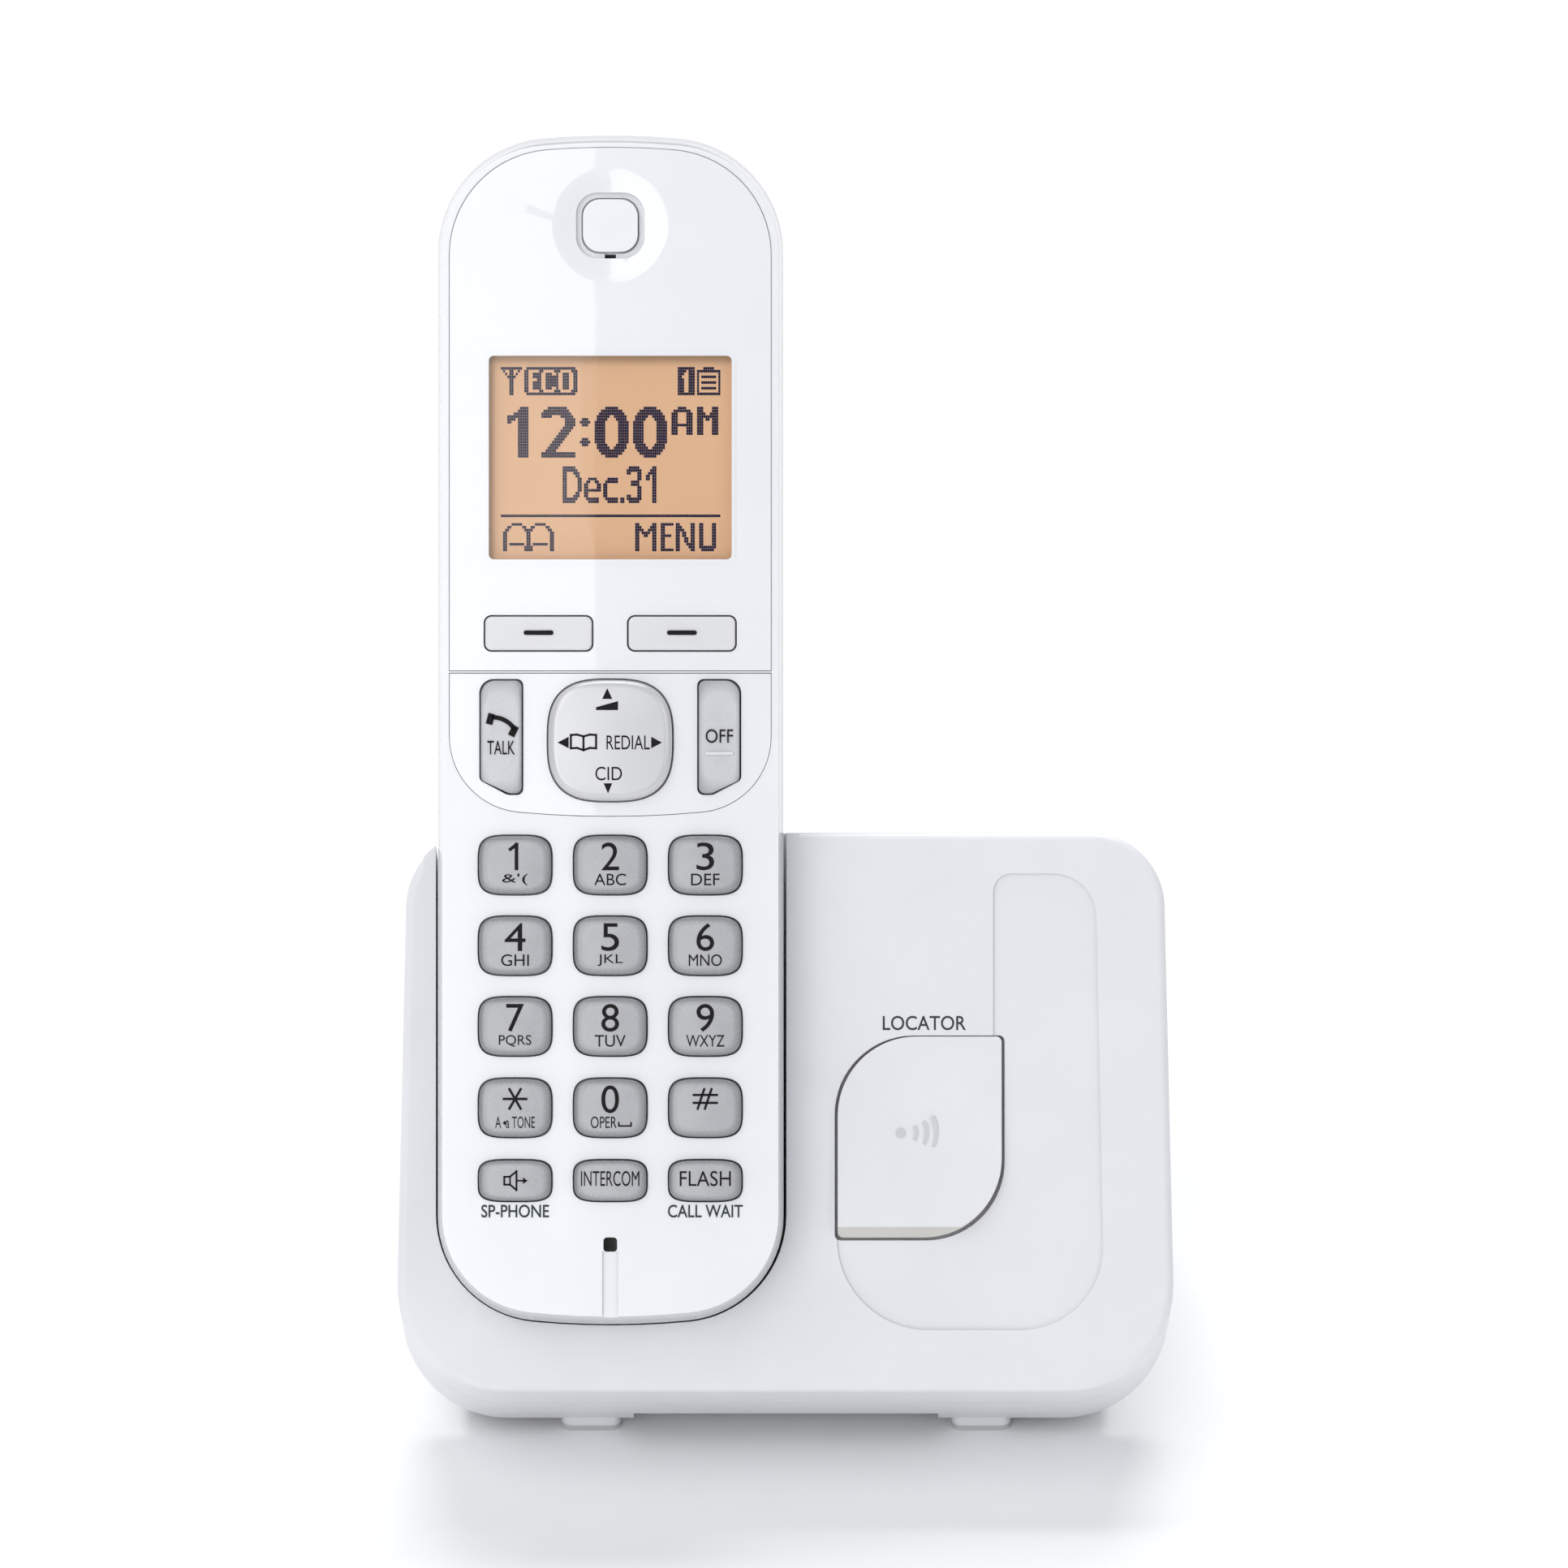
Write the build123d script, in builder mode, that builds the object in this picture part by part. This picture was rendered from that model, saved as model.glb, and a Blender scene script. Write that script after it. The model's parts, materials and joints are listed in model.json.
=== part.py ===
from build123d import *
import os
from math import cos, radians, sin

os.makedirs("parts", exist_ok=True)

# Cordless phone handset standing in its base.
# Row frame: +Z up, the keypad looks towards -Y, X = 0 is the middle of the base.

# ---- driving dimensions, mm -------------------------------------------------
LEAN = 60.0            # slope of the base face and of the handset, from the table
FRONT_Y = -49.26       # front edge of the base face
EDGE_Z = 18.15         # height of that edge above the table

BASE_TOP = 78.2        # length of the sloping base face
BASE_HALF_LOW = 54.55  # half width at the lower edge
BASE_HALF_TOP = 52.75  # half width at the upper edge
BASE_R_LOW = 15.0
BASE_R_TOP = 10.5
SLAB = 24.0            # thickness of the sloping body
SLAB_DROP = 4.9        # how far its walls sink down the slope over that thickness
PART_H = 10.6          # depth of the joint line between upper and lower case
PART_GAP = 0.35        # width of the shadow groove at the joint line
WALL = 2.0
CLEAR_Z = 1.9          # lower case above the table
WEDGE_HALF = 46.0      # half width of the foot behind the sloping body
REAR_Y = FRONT_Y + 84.0
REAR_Z = 26.0

HAND_X = -24.3         # middle of the handset
HAND_V = 9.55          # its lower end, up the slope
HAND_PROUD = 9.0       # how far it stands out of the base face
HAND_W = 48.1
HAND_L = 165.4
HAND_T = 27.5
HAND_CROWN = 2.6
HAND_R_TOP = 16.0
HAND_R_LOW = 14.6
HAND_SPLIT = 12.5      # joint line between front and rear case
HAND_WALL = 1.8
SKIN = 2.2             # thickness of the handset's front skin
INLAY = 1.2            # depth of the recesses for the inlaid plates

POCKET_GAP = 0.4       # play of the handset in its cradle
POCKET_BACK = 0.5
TUB_WALL = 1.8

KEY_W = 10.0
KEY_H = 8.05
KEY_COLS = (-13.2, 0.0, 13.2)
KEY_ROWS = (63.9, 52.7, 41.5, 30.2)
FUNC_V = 20.1
FUNC_H = 5.6
KEY_PROUD = 0.9
KEY_GAP = 0.22         # play around every key
KEY_POWER = 3.9        # squareness of the dialling keys: 2 is an ellipse
FLANGE = 0.7
OUTLINE_POINTS = 40
FLANGE_TOP = SKIN + 0.1
BOARD_S = 5.6          # depth of the handset's circuit board
BOARD_T = 1.2

NAV_W = 17.2
NAV_H = 16.8
NAV_POWER = 2.9
NAV_V = 81.2
SOFT_W = 14.8
SOFT_H = 4.65
SOFT_X = 9.95
SOFT_V = 96.05
LCD_W = 33.7
LCD_LOW = 106.35
LCD_TOP = 134.6
EAR_V = 152.7
MIC_V = 11.2

COVER_HALF = 17.0
COVER_LOW = 9.5
COVER_TOP = 100.0
COVER_S = HAND_T - 1.6

# ---- shared planes ----------------------------------------------------------
NORMAL = (0, -sin(radians(LEAN)), cos(radians(LEAN)))
UP = (0, cos(radians(LEAN)), sin(radians(LEAN)))
FACE = Plane(origin=(0, FRONT_Y, EDGE_Z), x_dir=(1, 0, 0), z_dir=NORMAL)
HAND_ORIGIN = FACE.from_local_coords((HAND_X, HAND_V, HAND_PROUD))
HAND = Plane(origin=HAND_ORIGIN, x_dir=(1, 0, 0), z_dir=NORMAL)
FOOT_SIDE = Plane(origin=(-WEDGE_HALF, FRONT_Y, 0), x_dir=(0, 1, 0), z_dir=(1, 0, 0))
TABLE = Plane(origin=(0, FRONT_Y, 0), x_dir=(1, 0, 0), z_dir=(0, 0, 1))
SLAB_DIR = FACE.from_local_coords((0, -SLAB_DROP, -SLAB)) - FACE.origin


def hand(depth):
    """Plane parallel to the handset's face, this far behind it."""
    return HAND.offset(-depth)


def shifted(height):
    """Plane of the base body at this height, slid along its leaning walls."""
    slide = -height * SLAB_DROP / SLAB
    return Plane(origin=FACE.from_local_coords((0, -slide, height)), x_dir=(1, 0, 0), z_dir=NORMAL)


# ---- outlines ---------------------------------------------------------------
def crowned(plane, width, low, top, crown, r_low, r_top):
    """Handset outline: straight sides, gently arched ends, round corners."""
    with BuildSketch(plane) as outline:
        with BuildLine():
            Line((-width / 2, low + crown), (-width / 2, top - crown))
            ThreePointArc((-width / 2, top - crown), (0, top), (width / 2, top - crown))
            Line((width / 2, top - crown), (width / 2, low + crown))
            ThreePointArc((width / 2, low + crown), (0, low), (-width / 2, low + crown))
        make_face()
        fillet(outline.vertices().group_by(Axis.Y)[-1], r_top)
        fillet(outline.vertices().group_by(Axis.Y)[0], r_low)
    return outline.sketch


def slab_outline(plane, inset):
    """Base outline: a rounded shield, a little narrower at the top."""
    low = BASE_HALF_LOW - inset
    top = BASE_HALF_TOP - inset
    with BuildSketch(plane) as outline:
        with BuildLine():
            Polyline((-low, inset), (low, inset), (top, BASE_TOP - inset),
                     (-top, BASE_TOP - inset), close=True)
        make_face()
        fillet(outline.vertices().group_by(Axis.Y)[-1], BASE_R_TOP - inset * 0.8)
        fillet(outline.vertices().group_by(Axis.Y)[0], BASE_R_LOW - inset)
    return outline.sketch


def rounded(plane, x, v, width, height, radius):
    with BuildSketch(plane) as outline:
        with Locations((x, v)):
            RectangleRounded(width, height, radius)
    return outline.sketch


def squircle(plane, x, v, width, height, power):
    """Key outline: bowed sides that run into round corners."""
    points = []
    for step in range(OUTLINE_POINTS):
        turn = radians(360.0 * step / OUTLINE_POINTS)
        reach = (abs(cos(turn)) ** power + abs(sin(turn)) ** power) ** (-1 / power)
        points.append((x + width / 2 * reach * cos(turn), v + height / 2 * reach * sin(turn)))
    with BuildSketch(plane) as outline:
        with BuildLine():
            Spline(*points, periodic=True)
        make_face()
    return outline.sketch


def plain(plane, x0, x1, v0, v1):
    with BuildSketch(plane) as outline:
        with Locations(((x0 + x1) / 2, (v0 + v1) / 2)):
            Rectangle(x1 - x0, v1 - v0)
    return outline.sketch


def disc(plane, x, v, radius):
    with BuildSketch(plane) as outline:
        with Locations((x, v)):
            Circle(radius)
    return outline.sketch


def bevelled(plane, points, radii):
    """Closed polygon with its own radius at every corner, 0 for a sharp one."""
    with BuildSketch(plane) as outline:
        with BuildLine():
            Polyline(*points, close=True)
        make_face()
        for point, radius in zip(points, radii):
            if radius > 0:
                fillet(outline.vertices().sort_by_distance((point[0], point[1], 0))[0], radius)
    return outline.sketch


def fold_key(plane, side, grow):
    """Talk and off keys: an upright key with its outer lower corner cut away."""
    inner = 12.3 - grow
    outer = 17.95 + grow
    low = 73.85 - grow
    top = 89.5 + grow
    with BuildSketch(plane) as outline:
        with BuildLine():
            Polyline((side * inner, low), (side * inner, top), (side * outer, top),
                     (side * outer, 75.7), (side * (outer - 3.9), low), close=True)
        make_face()
        for x_corner, v_corner, radius in ((inner, low, 0.9), (inner, top, 0.9), (outer, top, 2.0),
                                           (outer, 75.7, 0.9), (outer - 3.9, low, 1.6)):
            fillet(outline.vertices().sort_by_distance((side * x_corner, v_corner, 0))[0], radius)
    return outline.sketch


def plate_u(plane, grow):
    """Function plate below the window: square top, arched bottom with large corners."""
    half = 22.3 + grow
    with BuildSketch(plane) as outline:
        with BuildLine():
            Polyline((-half, 72.5 - grow), (-half, 90.5 + grow), (half, 90.5 + grow), (half, 72.5 - grow))
            ThreePointArc((half, 72.5 - grow), (0, 70.7 - grow), (-half, 72.5 - grow))
        make_face()
        for side in (-1, 1):
            fillet(outline.vertices().sort_by_distance((side * half, 72.5 - grow, 0))[0], 10.5 + grow)
    return outline.sketch


def window_outline(plane, grow):
    """Window plate: square below, arched like the handset's end above."""
    half = 22.3 + grow
    top = 163.5 + grow
    with BuildSketch(plane) as outline:
        with BuildLine():
            Line((-half, 90.9 - grow), (-half, top - 2.3))
            ThreePointArc((-half, top - 2.3), (0, top), (half, top - 2.3))
            Line((half, top - 2.3), (half, 90.9 - grow))
            Line((half, 90.9 - grow), (-half, 90.9 - grow))
        make_face()
        fillet(outline.vertices().group_by(Axis.Y)[-1], 14.6)
    return outline.sketch


def leaf(plane, grow):
    """Locator button: two large opposite corners, two almost sharp ones."""
    with BuildSketch(plane) as outline:
        with BuildLine():
            Polyline((7.3 - grow, 21.4 - grow), (30.2 + grow, 21.4 - grow),
                     (30.2 + grow, 49.2 + grow), (7.3 - grow, 49.2 + grow), close=True)
        make_face()
        for x_corner, y_corner, radius in ((30.2 + grow, 21.4 - grow, 11.0), (7.3 - grow, 49.2 + grow, 11.0),
                                           (7.3 - grow, 21.4 - grow, 0.8), (30.2 + grow, 49.2 + grow, 0.8)):
            fillet(outline.vertices().sort_by_distance((x_corner, y_corner, 0))[0], radius)
    return outline.sketch


# ============================================================================
# HANDSET, cases and inlays
# ============================================================================
full = crowned(hand(4.0), HAND_W, 0, HAND_L, HAND_CROWN, HAND_R_LOW, HAND_R_TOP)
brow = crowned(hand(0), HAND_W - 1.4, 1.2, HAND_L - 1.2, HAND_CROWN, HAND_R_LOW - 1, HAND_R_TOP - 1)
cavity = crowned(hand(SKIN), HAND_W - 2 * HAND_WALL, HAND_WALL, HAND_L - HAND_WALL, HAND_CROWN,
                 HAND_R_LOW - HAND_WALL, HAND_R_TOP - HAND_WALL)
split_full = crowned(hand(HAND_SPLIT), HAND_W, 0, HAND_L, HAND_CROWN, HAND_R_LOW, HAND_R_TOP)
split_in = crowned(hand(HAND_SPLIT), HAND_W - 2 * HAND_WALL, HAND_WALL, HAND_L - HAND_WALL, HAND_CROWN,
                   HAND_R_LOW - HAND_WALL, HAND_R_TOP - HAND_WALL)

key_sites = []
for row, v_key in enumerate(KEY_ROWS):
    for col, x_key in enumerate(KEY_COLS):
        key_sites.append((x_key, v_key, KEY_W, KEY_H, KEY_POWER))
for x_key in KEY_COLS:
    key_sites.append((x_key, FUNC_V, KEY_W, FUNC_H, KEY_POWER))

with BuildPart() as front_case:
    loft([brow, full])
    extrude(to_extrude=full, amount=-(HAND_SPLIT - 4.0))
    extrude(to_extrude=cavity, amount=-20, mode=Mode.SUBTRACT)
    # recesses for the two inlaid plates
    extrude(to_extrude=window_outline(hand(INLAY), 0.08), amount=5, mode=Mode.SUBTRACT)
    extrude(to_extrude=plate_u(hand(INLAY), 0.08), amount=5, mode=Mode.SUBTRACT)
    # window over the display
    extrude(to_extrude=plain(hand(4), -LCD_W / 2 - 1, LCD_W / 2 + 1, LCD_LOW - 1, LCD_TOP + 1),
            amount=5, mode=Mode.SUBTRACT)
    # keypad holes
    for x_key, v_key, w_key, h_key, power in key_sites:
        extrude(to_extrude=squircle(hand(4), x_key, v_key, w_key + 2 * KEY_GAP, h_key + 2 * KEY_GAP, power),
                amount=5, mode=Mode.SUBTRACT)
    # holes for the navigation, soft, talk and off keys
    extrude(to_extrude=squircle(hand(4), 0, NAV_V, NAV_W + 2 * KEY_GAP, NAV_H + 2 * KEY_GAP, NAV_POWER),
            amount=5, mode=Mode.SUBTRACT)
    for side in (-1, 1):
        extrude(to_extrude=rounded(hand(4), side * SOFT_X, SOFT_V, SOFT_W + 2 * KEY_GAP, SOFT_H + 2 * KEY_GAP, 1.1),
                amount=5, mode=Mode.SUBTRACT)
        extrude(to_extrude=fold_key(hand(4), side, KEY_GAP), amount=5, mode=Mode.SUBTRACT)
    # earpiece opening, microphone hole and its finger groove
    extrude(to_extrude=rounded(hand(4), 0, EAR_V, 8.0, 7.7, 2.4), amount=5, mode=Mode.SUBTRACT)
    extrude(to_extrude=plain(hand(4), -0.77, 0.77, EAR_V - 4.6, EAR_V - 3.6), amount=5, mode=Mode.SUBTRACT)
    extrude(to_extrude=rounded(hand(4), 0, MIC_V, 1.9, 2.0, 0.5), amount=5, mode=Mode.SUBTRACT)
    extrude(to_extrude=plain(hand(0.45), -1.1, 1.1, 0.5, 10.25), amount=2, mode=Mode.SUBTRACT)
front_case.part.label = "handset_front_case"
export_step(front_case.part, "parts/handset_front_case.step")

TERMINALS = (-8.0, 8.0)

with BuildPart() as handset_blank:
    extrude(to_extrude=split_full, amount=-(HAND_T - HAND_SPLIT))
    rim = handset_blank.faces().sort_by(Axis(HAND.origin, NORMAL))[0].edges()
    fillet(rim, 7.0)

with BuildPart() as rear_case:
    add(handset_blank.part)
    extrude(to_extrude=split_in, amount=-(HAND_T - HAND_SPLIT - HAND_WALL - 2.4), mode=Mode.SUBTRACT)
    # battery compartment: floor, end walls and side walls
    extrude(to_extrude=plain(hand(HAND_SPLIT + 0.2), -14.6, 14.6, 26.6, 80.4), amount=-(COVER_S - HAND_SPLIT - 0.2))
    extrude(to_extrude=plain(hand(HAND_SPLIT + 1.3), -13.4, 13.4, 27.8, 79.2), amount=-16, mode=Mode.SUBTRACT)
    # channel for the sliding cover, running out at the lower end
    extrude(to_extrude=plain(hand(COVER_S), -COVER_HALF - 0.15, COVER_HALF + 0.15, -5, COVER_TOP + 0.15),
            amount=-5, mode=Mode.SUBTRACT)
    for side in (-1, 1):
        extrude(to_extrude=plain(hand(COVER_S + 0.35), side * (COVER_HALF + 0.6) - 0.7,
                                 side * (COVER_HALF + 0.6) + 0.7, -5, COVER_TOP + 0.15),
                amount=-0.9, mode=Mode.SUBTRACT)
    # slots of the ringer behind the upper back
    for step in range(-3, 4):
        extrude(to_extrude=rounded(hand(20), 0, 128 + step * 2.4, 14 - 2 * abs(step), 1.0, 0.45),
                amount=-10, mode=Mode.SUBTRACT)
    # windows of the charge terminals in the lower end
    for x_term in TERMINALS:
        extrude(to_extrude=plain(hand(15.0), x_term - 1.6, x_term + 1.6, -3, 4), amount=-5.0,
                mode=Mode.SUBTRACT)
    # screw bosses reaching the front case
    for x_boss, v_boss in ((-19.0, 92.0), (19.0, 92.0), (-14.0, 150.0), (14.0, 150.0)):
        extrude(to_extrude=disc(hand(HAND_SPLIT), x_boss, v_boss, 2.6), amount=-11.0)
    # screws enter from behind, in sunk holes
    for x_boss, v_boss in ((-14.0, 150.0), (14.0, 150.0)):
        extrude(to_extrude=disc(hand(HAND_SPLIT + 4), x_boss, v_boss, 1.6), amount=-20,
                mode=Mode.SUBTRACT)
        extrude(to_extrude=disc(hand(HAND_SPLIT - 1), x_boss, v_boss, 0.9), amount=-20,
                mode=Mode.SUBTRACT)
rear_case.part.label = "handset_rear_case"
export_step(rear_case.part, "parts/handset_rear_case.step")

with BuildPart() as battery_cover:
    extrude(to_extrude=plain(hand(COVER_S + 0.05), -COVER_HALF, COVER_HALF, COVER_LOW, COVER_TOP),
            amount=-(HAND_T - COVER_S - 0.05))
    ends = battery_cover.edges().filter_by(Axis.X).sort_by(Axis(HAND.origin, UP))[:2]
    fillet(ends.sort_by(Axis(HAND.origin, NORMAL))[0], 1.2)
    for side in (-1, 1):
        extrude(to_extrude=plain(hand(COVER_S + 0.5), side * (COVER_HALF + 0.4) - 0.5,
                                 side * (COVER_HALF + 0.4) + 0.5, COVER_LOW + 3, COVER_TOP - 1), amount=-0.6)
    # grip ridges for the thumb
    for step in range(6):
        extrude(to_extrude=plain(hand(HAND_T - 0.4), -7, 7, 74 + step * 2.2, 75 + step * 2.2),
                amount=-2, mode=Mode.SUBTRACT)
battery_cover.part.label = "battery_cover"
export_step(battery_cover.part, "parts/battery_cover.step")

with BuildPart() as window_plate:
    extrude(to_extrude=window_outline(hand(INLAY - 0.02), 0), amount=INLAY + 0.1)
    extrude(to_extrude=rounded(hand(4), 0, (LCD_LOW + LCD_TOP) / 2, LCD_W, LCD_TOP - LCD_LOW, 0.7),
            amount=8, mode=Mode.SUBTRACT)
    for side in (-1, 1):
        extrude(to_extrude=rounded(hand(4), side * SOFT_X, SOFT_V, SOFT_W + 2 * KEY_GAP, SOFT_H + 2 * KEY_GAP, 1.1),
                amount=8, mode=Mode.SUBTRACT)
    extrude(to_extrude=rounded(hand(4), 0, EAR_V, 9.5, 9.15, 3.0), amount=8, mode=Mode.SUBTRACT)
    # shallow ear dish
    with Locations(hand(0).offset(64.25 - 0.4).location * Pos(0, EAR_V, 0)):
        Sphere(64.25, mode=Mode.SUBTRACT)
window_plate.part.label = "window_plate"
export_step(window_plate.part, "parts/window_plate.step")

with BuildPart() as display_lens:
    extrude(to_extrude=rounded(hand(INLAY - 0.02), 0, (LCD_LOW + LCD_TOP) / 2, LCD_W - 0.06,
                               LCD_TOP - LCD_LOW - 0.06, 0.7), amount=INLAY - 0.1)
display_lens.part.label = "display_lens"
export_step(display_lens.part, "parts/display_lens.step")

with BuildPart() as display_panel:
    extrude(to_extrude=plain(hand(2.4), -LCD_W / 2 - 0.8, LCD_W / 2 + 0.8, LCD_LOW - 0.8, LCD_TOP + 0.8),
            amount=-1.6)
display_panel.part.label = "display_panel"
export_step(display_panel.part, "parts/display_panel.step")

with BuildPart() as display_holder:
    extrude(to_extrude=plain(hand(2.4), -19.5, 19.5, 103.6, 137.5), amount=-3.1)
    extrude(to_extrude=plain(hand(2.3), -LCD_W / 2 - 0.85, LCD_W / 2 + 0.85, LCD_LOW - 0.85, LCD_TOP + 0.85),
            amount=-1.75, mode=Mode.SUBTRACT)
display_holder.part.label = "display_holder"
export_step(display_holder.part, "parts/display_holder.step")

with BuildPart() as function_plate:
    extrude(to_extrude=plate_u(hand(INLAY - 0.02), 0), amount=INLAY - 0.02)
    extrude(to_extrude=squircle(hand(4), 0, NAV_V, NAV_W + 2 * KEY_GAP, NAV_H + 2 * KEY_GAP, NAV_POWER),
            amount=8, mode=Mode.SUBTRACT)
    for side in (-1, 1):
        extrude(to_extrude=fold_key(hand(4), side, KEY_GAP), amount=8, mode=Mode.SUBTRACT)
function_plate.part.label = "function_plate"
export_step(function_plate.part, "parts/function_plate.step")

with BuildPart() as earpiece_cap:
    extrude(to_extrude=rounded(hand(0.95), 0, EAR_V, 7.6, 7.3, 2.4), amount=0.75)
    extrude(to_extrude=rounded(hand(0.95), 0, EAR_V, 7.6, 7.3, 2.4), amount=-1.3)
    extrude(to_extrude=rounded(hand(2.25), 0, EAR_V, 9.6, 9.3, 2.6), amount=-0.6)
    extrude(to_extrude=plain(hand(4), -0.77, 0.77, EAR_V - 4.75, EAR_V - 4.0), amount=8, mode=Mode.SUBTRACT)
earpiece_cap.part.label = "earpiece_cap"
export_step(earpiece_cap.part, "parts/earpiece_cap.step")

# ============================================================================
# HANDSET, inner pieces
# ============================================================================
with BuildPart() as earpiece_speaker:
    extrude(to_extrude=disc(hand(2.95), 0, EAR_V, 7.5), amount=-2.2)
    extrude(to_extrude=disc(hand(5.15), 0, EAR_V, 5.0), amount=-1.6)
    extrude(to_extrude=disc(hand(2.95), 0, EAR_V, 5.8), amount=-0.5, mode=Mode.SUBTRACT)
earpiece_speaker.part.label = "earpiece_speaker"
export_step(earpiece_speaker.part, "parts/earpiece_speaker.step")

with BuildPart() as microphone:
    extrude(to_extrude=disc(hand(2.9), 0, MIC_V, 3.0), amount=-2.2)
    extrude(to_extrude=disc(hand(2.9), 0, MIC_V, 0.6), amount=-0.6, mode=Mode.SUBTRACT)
microphone.part.label = "microphone"
export_step(microphone.part, "parts/microphone.step")

with BuildPart() as microphone_boot:
    extrude(to_extrude=disc(hand(SKIN), 0, MIC_V, 4.0), amount=-2.9)
    extrude(to_extrude=disc(hand(2.9), 0, MIC_V, 3.0), amount=-5, mode=Mode.SUBTRACT)
    extrude(to_extrude=disc(hand(0), 0, MIC_V, 0.95), amount=-5, mode=Mode.SUBTRACT)
microphone_boot.part.label = "microphone_boot"
export_step(microphone_boot.part, "parts/microphone_boot.step")

with BuildPart() as handset_board:
    extrude(to_extrude=plain(hand(BOARD_S), -20.5, 20.5, 6.5, 143.5), amount=-BOARD_T)
    for side in (-1, 1):
        extrude(to_extrude=disc(hand(BOARD_S - 1), side * 19.0, 92.0, 3.0), amount=-5, mode=Mode.SUBTRACT)
        extrude(to_extrude=disc(hand(BOARD_S - 1), side * 20.5, 6.5, 9.0), amount=-5, mode=Mode.SUBTRACT)
handset_board.part.label = "handset_circuit_board"
export_step(handset_board.part, "parts/handset_circuit_board.step")

with BuildPart() as keypad_mat:
    extrude(to_extrude=plain(hand(BOARD_S - 0.8), -19.2, 19.2, 16.2, 88.0), amount=-0.8)
    extrude(to_extrude=plain(hand(BOARD_S - 0.8), -15.8, 15.8, 87.0, 100.0), amount=-0.8)
keypad_mat.part.label = "keypad_mat"
export_step(keypad_mat.part, "parts/keypad_mat.step")

BOARD_BACK = BOARD_S + BOARD_T

with BuildPart() as handset_shield:
    extrude(to_extrude=plain(hand(BOARD_BACK), -15, 9, 104, 136), amount=-2.6)
    extrude(to_extrude=plain(hand(BOARD_BACK - 1), -14.7, 8.7, 104.3, 135.7), amount=-3.3, mode=Mode.SUBTRACT)
handset_shield.part.label = "handset_shield_can"
export_step(handset_shield.part, "parts/handset_shield_can.step")

with BuildPart() as handset_antenna:
    extrude(to_extrude=plain(hand(BOARD_BACK), 10.5, 19.5, 138.5, 142.5), amount=-0.4)
    extrude(to_extrude=plain(hand(BOARD_BACK), 10.5, 10.9, 138.5, 142.5), amount=-4.5)
    extrude(to_extrude=plain(hand(BOARD_BACK + 4.1), 10.5, 19.5, 138.5, 142.5), amount=-0.4)
handset_antenna.part.label = "handset_antenna"
export_step(handset_antenna.part, "parts/handset_antenna.step")

with BuildPart() as ringer:
    extrude(to_extrude=disc(hand(20.05), 0, 128, 10.0), amount=-3.2)
    extrude(to_extrude=disc(hand(20.05), 0, 128, 6.0), amount=1.6)
    extrude(to_extrude=disc(hand(22.75), 0, 128, 8.2), amount=-2, mode=Mode.SUBTRACT)
ringer.part.label = "ringer_speaker"
export_step(ringer.part, "parts/ringer_speaker.step")

CELL_R = 5.25
CELL_LOW = 31.6
CELL_S = HAND_SPLIT + 1.3 + 0.2 + CELL_R

for label, x_cell, flip in (("battery_cell_left", -6.2, 1), ("battery_cell_right", 6.2, -1)):
    low_end = HAND.from_local_coords((x_cell, CELL_LOW, -CELL_S))
    cell_plane = Plane(origin=low_end, x_dir=(1, 0, 0), z_dir=UP)
    if flip < 0:
        top_end = HAND.from_local_coords((x_cell, CELL_LOW + 44.5, -CELL_S))
        cell_plane = Plane(origin=top_end, x_dir=(1, 0, 0), z_dir=(0, -UP[1], -UP[2]))
    with BuildPart() as cell:
        with BuildSketch(cell_plane):
            Circle(CELL_R)
        extrude(amount=43.5)
        chamfer(cell.edges().filter_by(GeomType.CIRCLE), 0.3)
        with BuildSketch(cell_plane.offset(43.5)):
            Circle(1.9)
        extrude(amount=1.0)
    cell.part.label = label
    export_step(cell.part, "parts/" + label + ".step")

for label, v_plate, tip in (("battery_contact_low", 27.8, 1), ("battery_contact_high", 78.8, -1)):
    with BuildPart() as contact:
        extrude(to_extrude=plain(hand(HAND_SPLIT + 1.6), -12.6, 12.6, v_plate, v_plate + 0.4), amount=-9.5)
        for x_cell in (-6.2, 6.2):
            root = HAND.from_local_coords((x_cell, v_plate + 0.2, -CELL_S))
            reach = 3.35 if tip > 0 else 2.45
            with BuildSketch(Plane(origin=root, x_dir=(1, 0, 0), z_dir=(0, tip * UP[1], tip * UP[2]))):
                Circle(2.6)
            extrude(amount=reach, taper=20)
    contact.part.label = label
    export_step(contact.part, "parts/" + label + ".step")

with BuildPart() as charge_terminals:
    for x_term in TERMINALS:
        extrude(to_extrude=plain(hand(15.1), x_term - 1.5, x_term + 1.5, 0.45, 0.95), amount=-4.8)
        extrude(to_extrude=plain(hand(19.4), x_term - 1.5, x_term + 1.5, 0.45, 5.5), amount=-0.5)
charge_terminals.part.label = "handset_charge_terminals"
export_step(charge_terminals.part, "parts/handset_charge_terminals.step")


with BuildPart() as handset_screws:
    for x_boss in (-14.0, 14.0):
        extrude(to_extrude=disc(hand(HAND_SPLIT + 4), x_boss, 150.0, 1.55), amount=-1.3)
        extrude(to_extrude=disc(hand(HAND_SPLIT + 4), x_boss, 150.0, 0.85), amount=8)
        for wide, high in ((1.8, 0.45), (0.45, 1.8)):
            extrude(to_extrude=plain(hand(HAND_SPLIT + 5.3), x_boss - wide / 2, x_boss + wide / 2,
                                     150 - high / 2, 150 + high / 2), amount=0.6, mode=Mode.SUBTRACT)
handset_screws.part.label = "handset_screws"
export_step(handset_screws.part, "parts/handset_screws.step")

# ============================================================================
# HANDSET, keys
# ============================================================================
KEY_NAMES = ("key_1", "key_2", "key_3", "key_4", "key_5", "key_6", "key_7", "key_8", "key_9",
             "key_star", "key_0", "key_hash", "key_speaker", "key_intercom", "key_flash")

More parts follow.
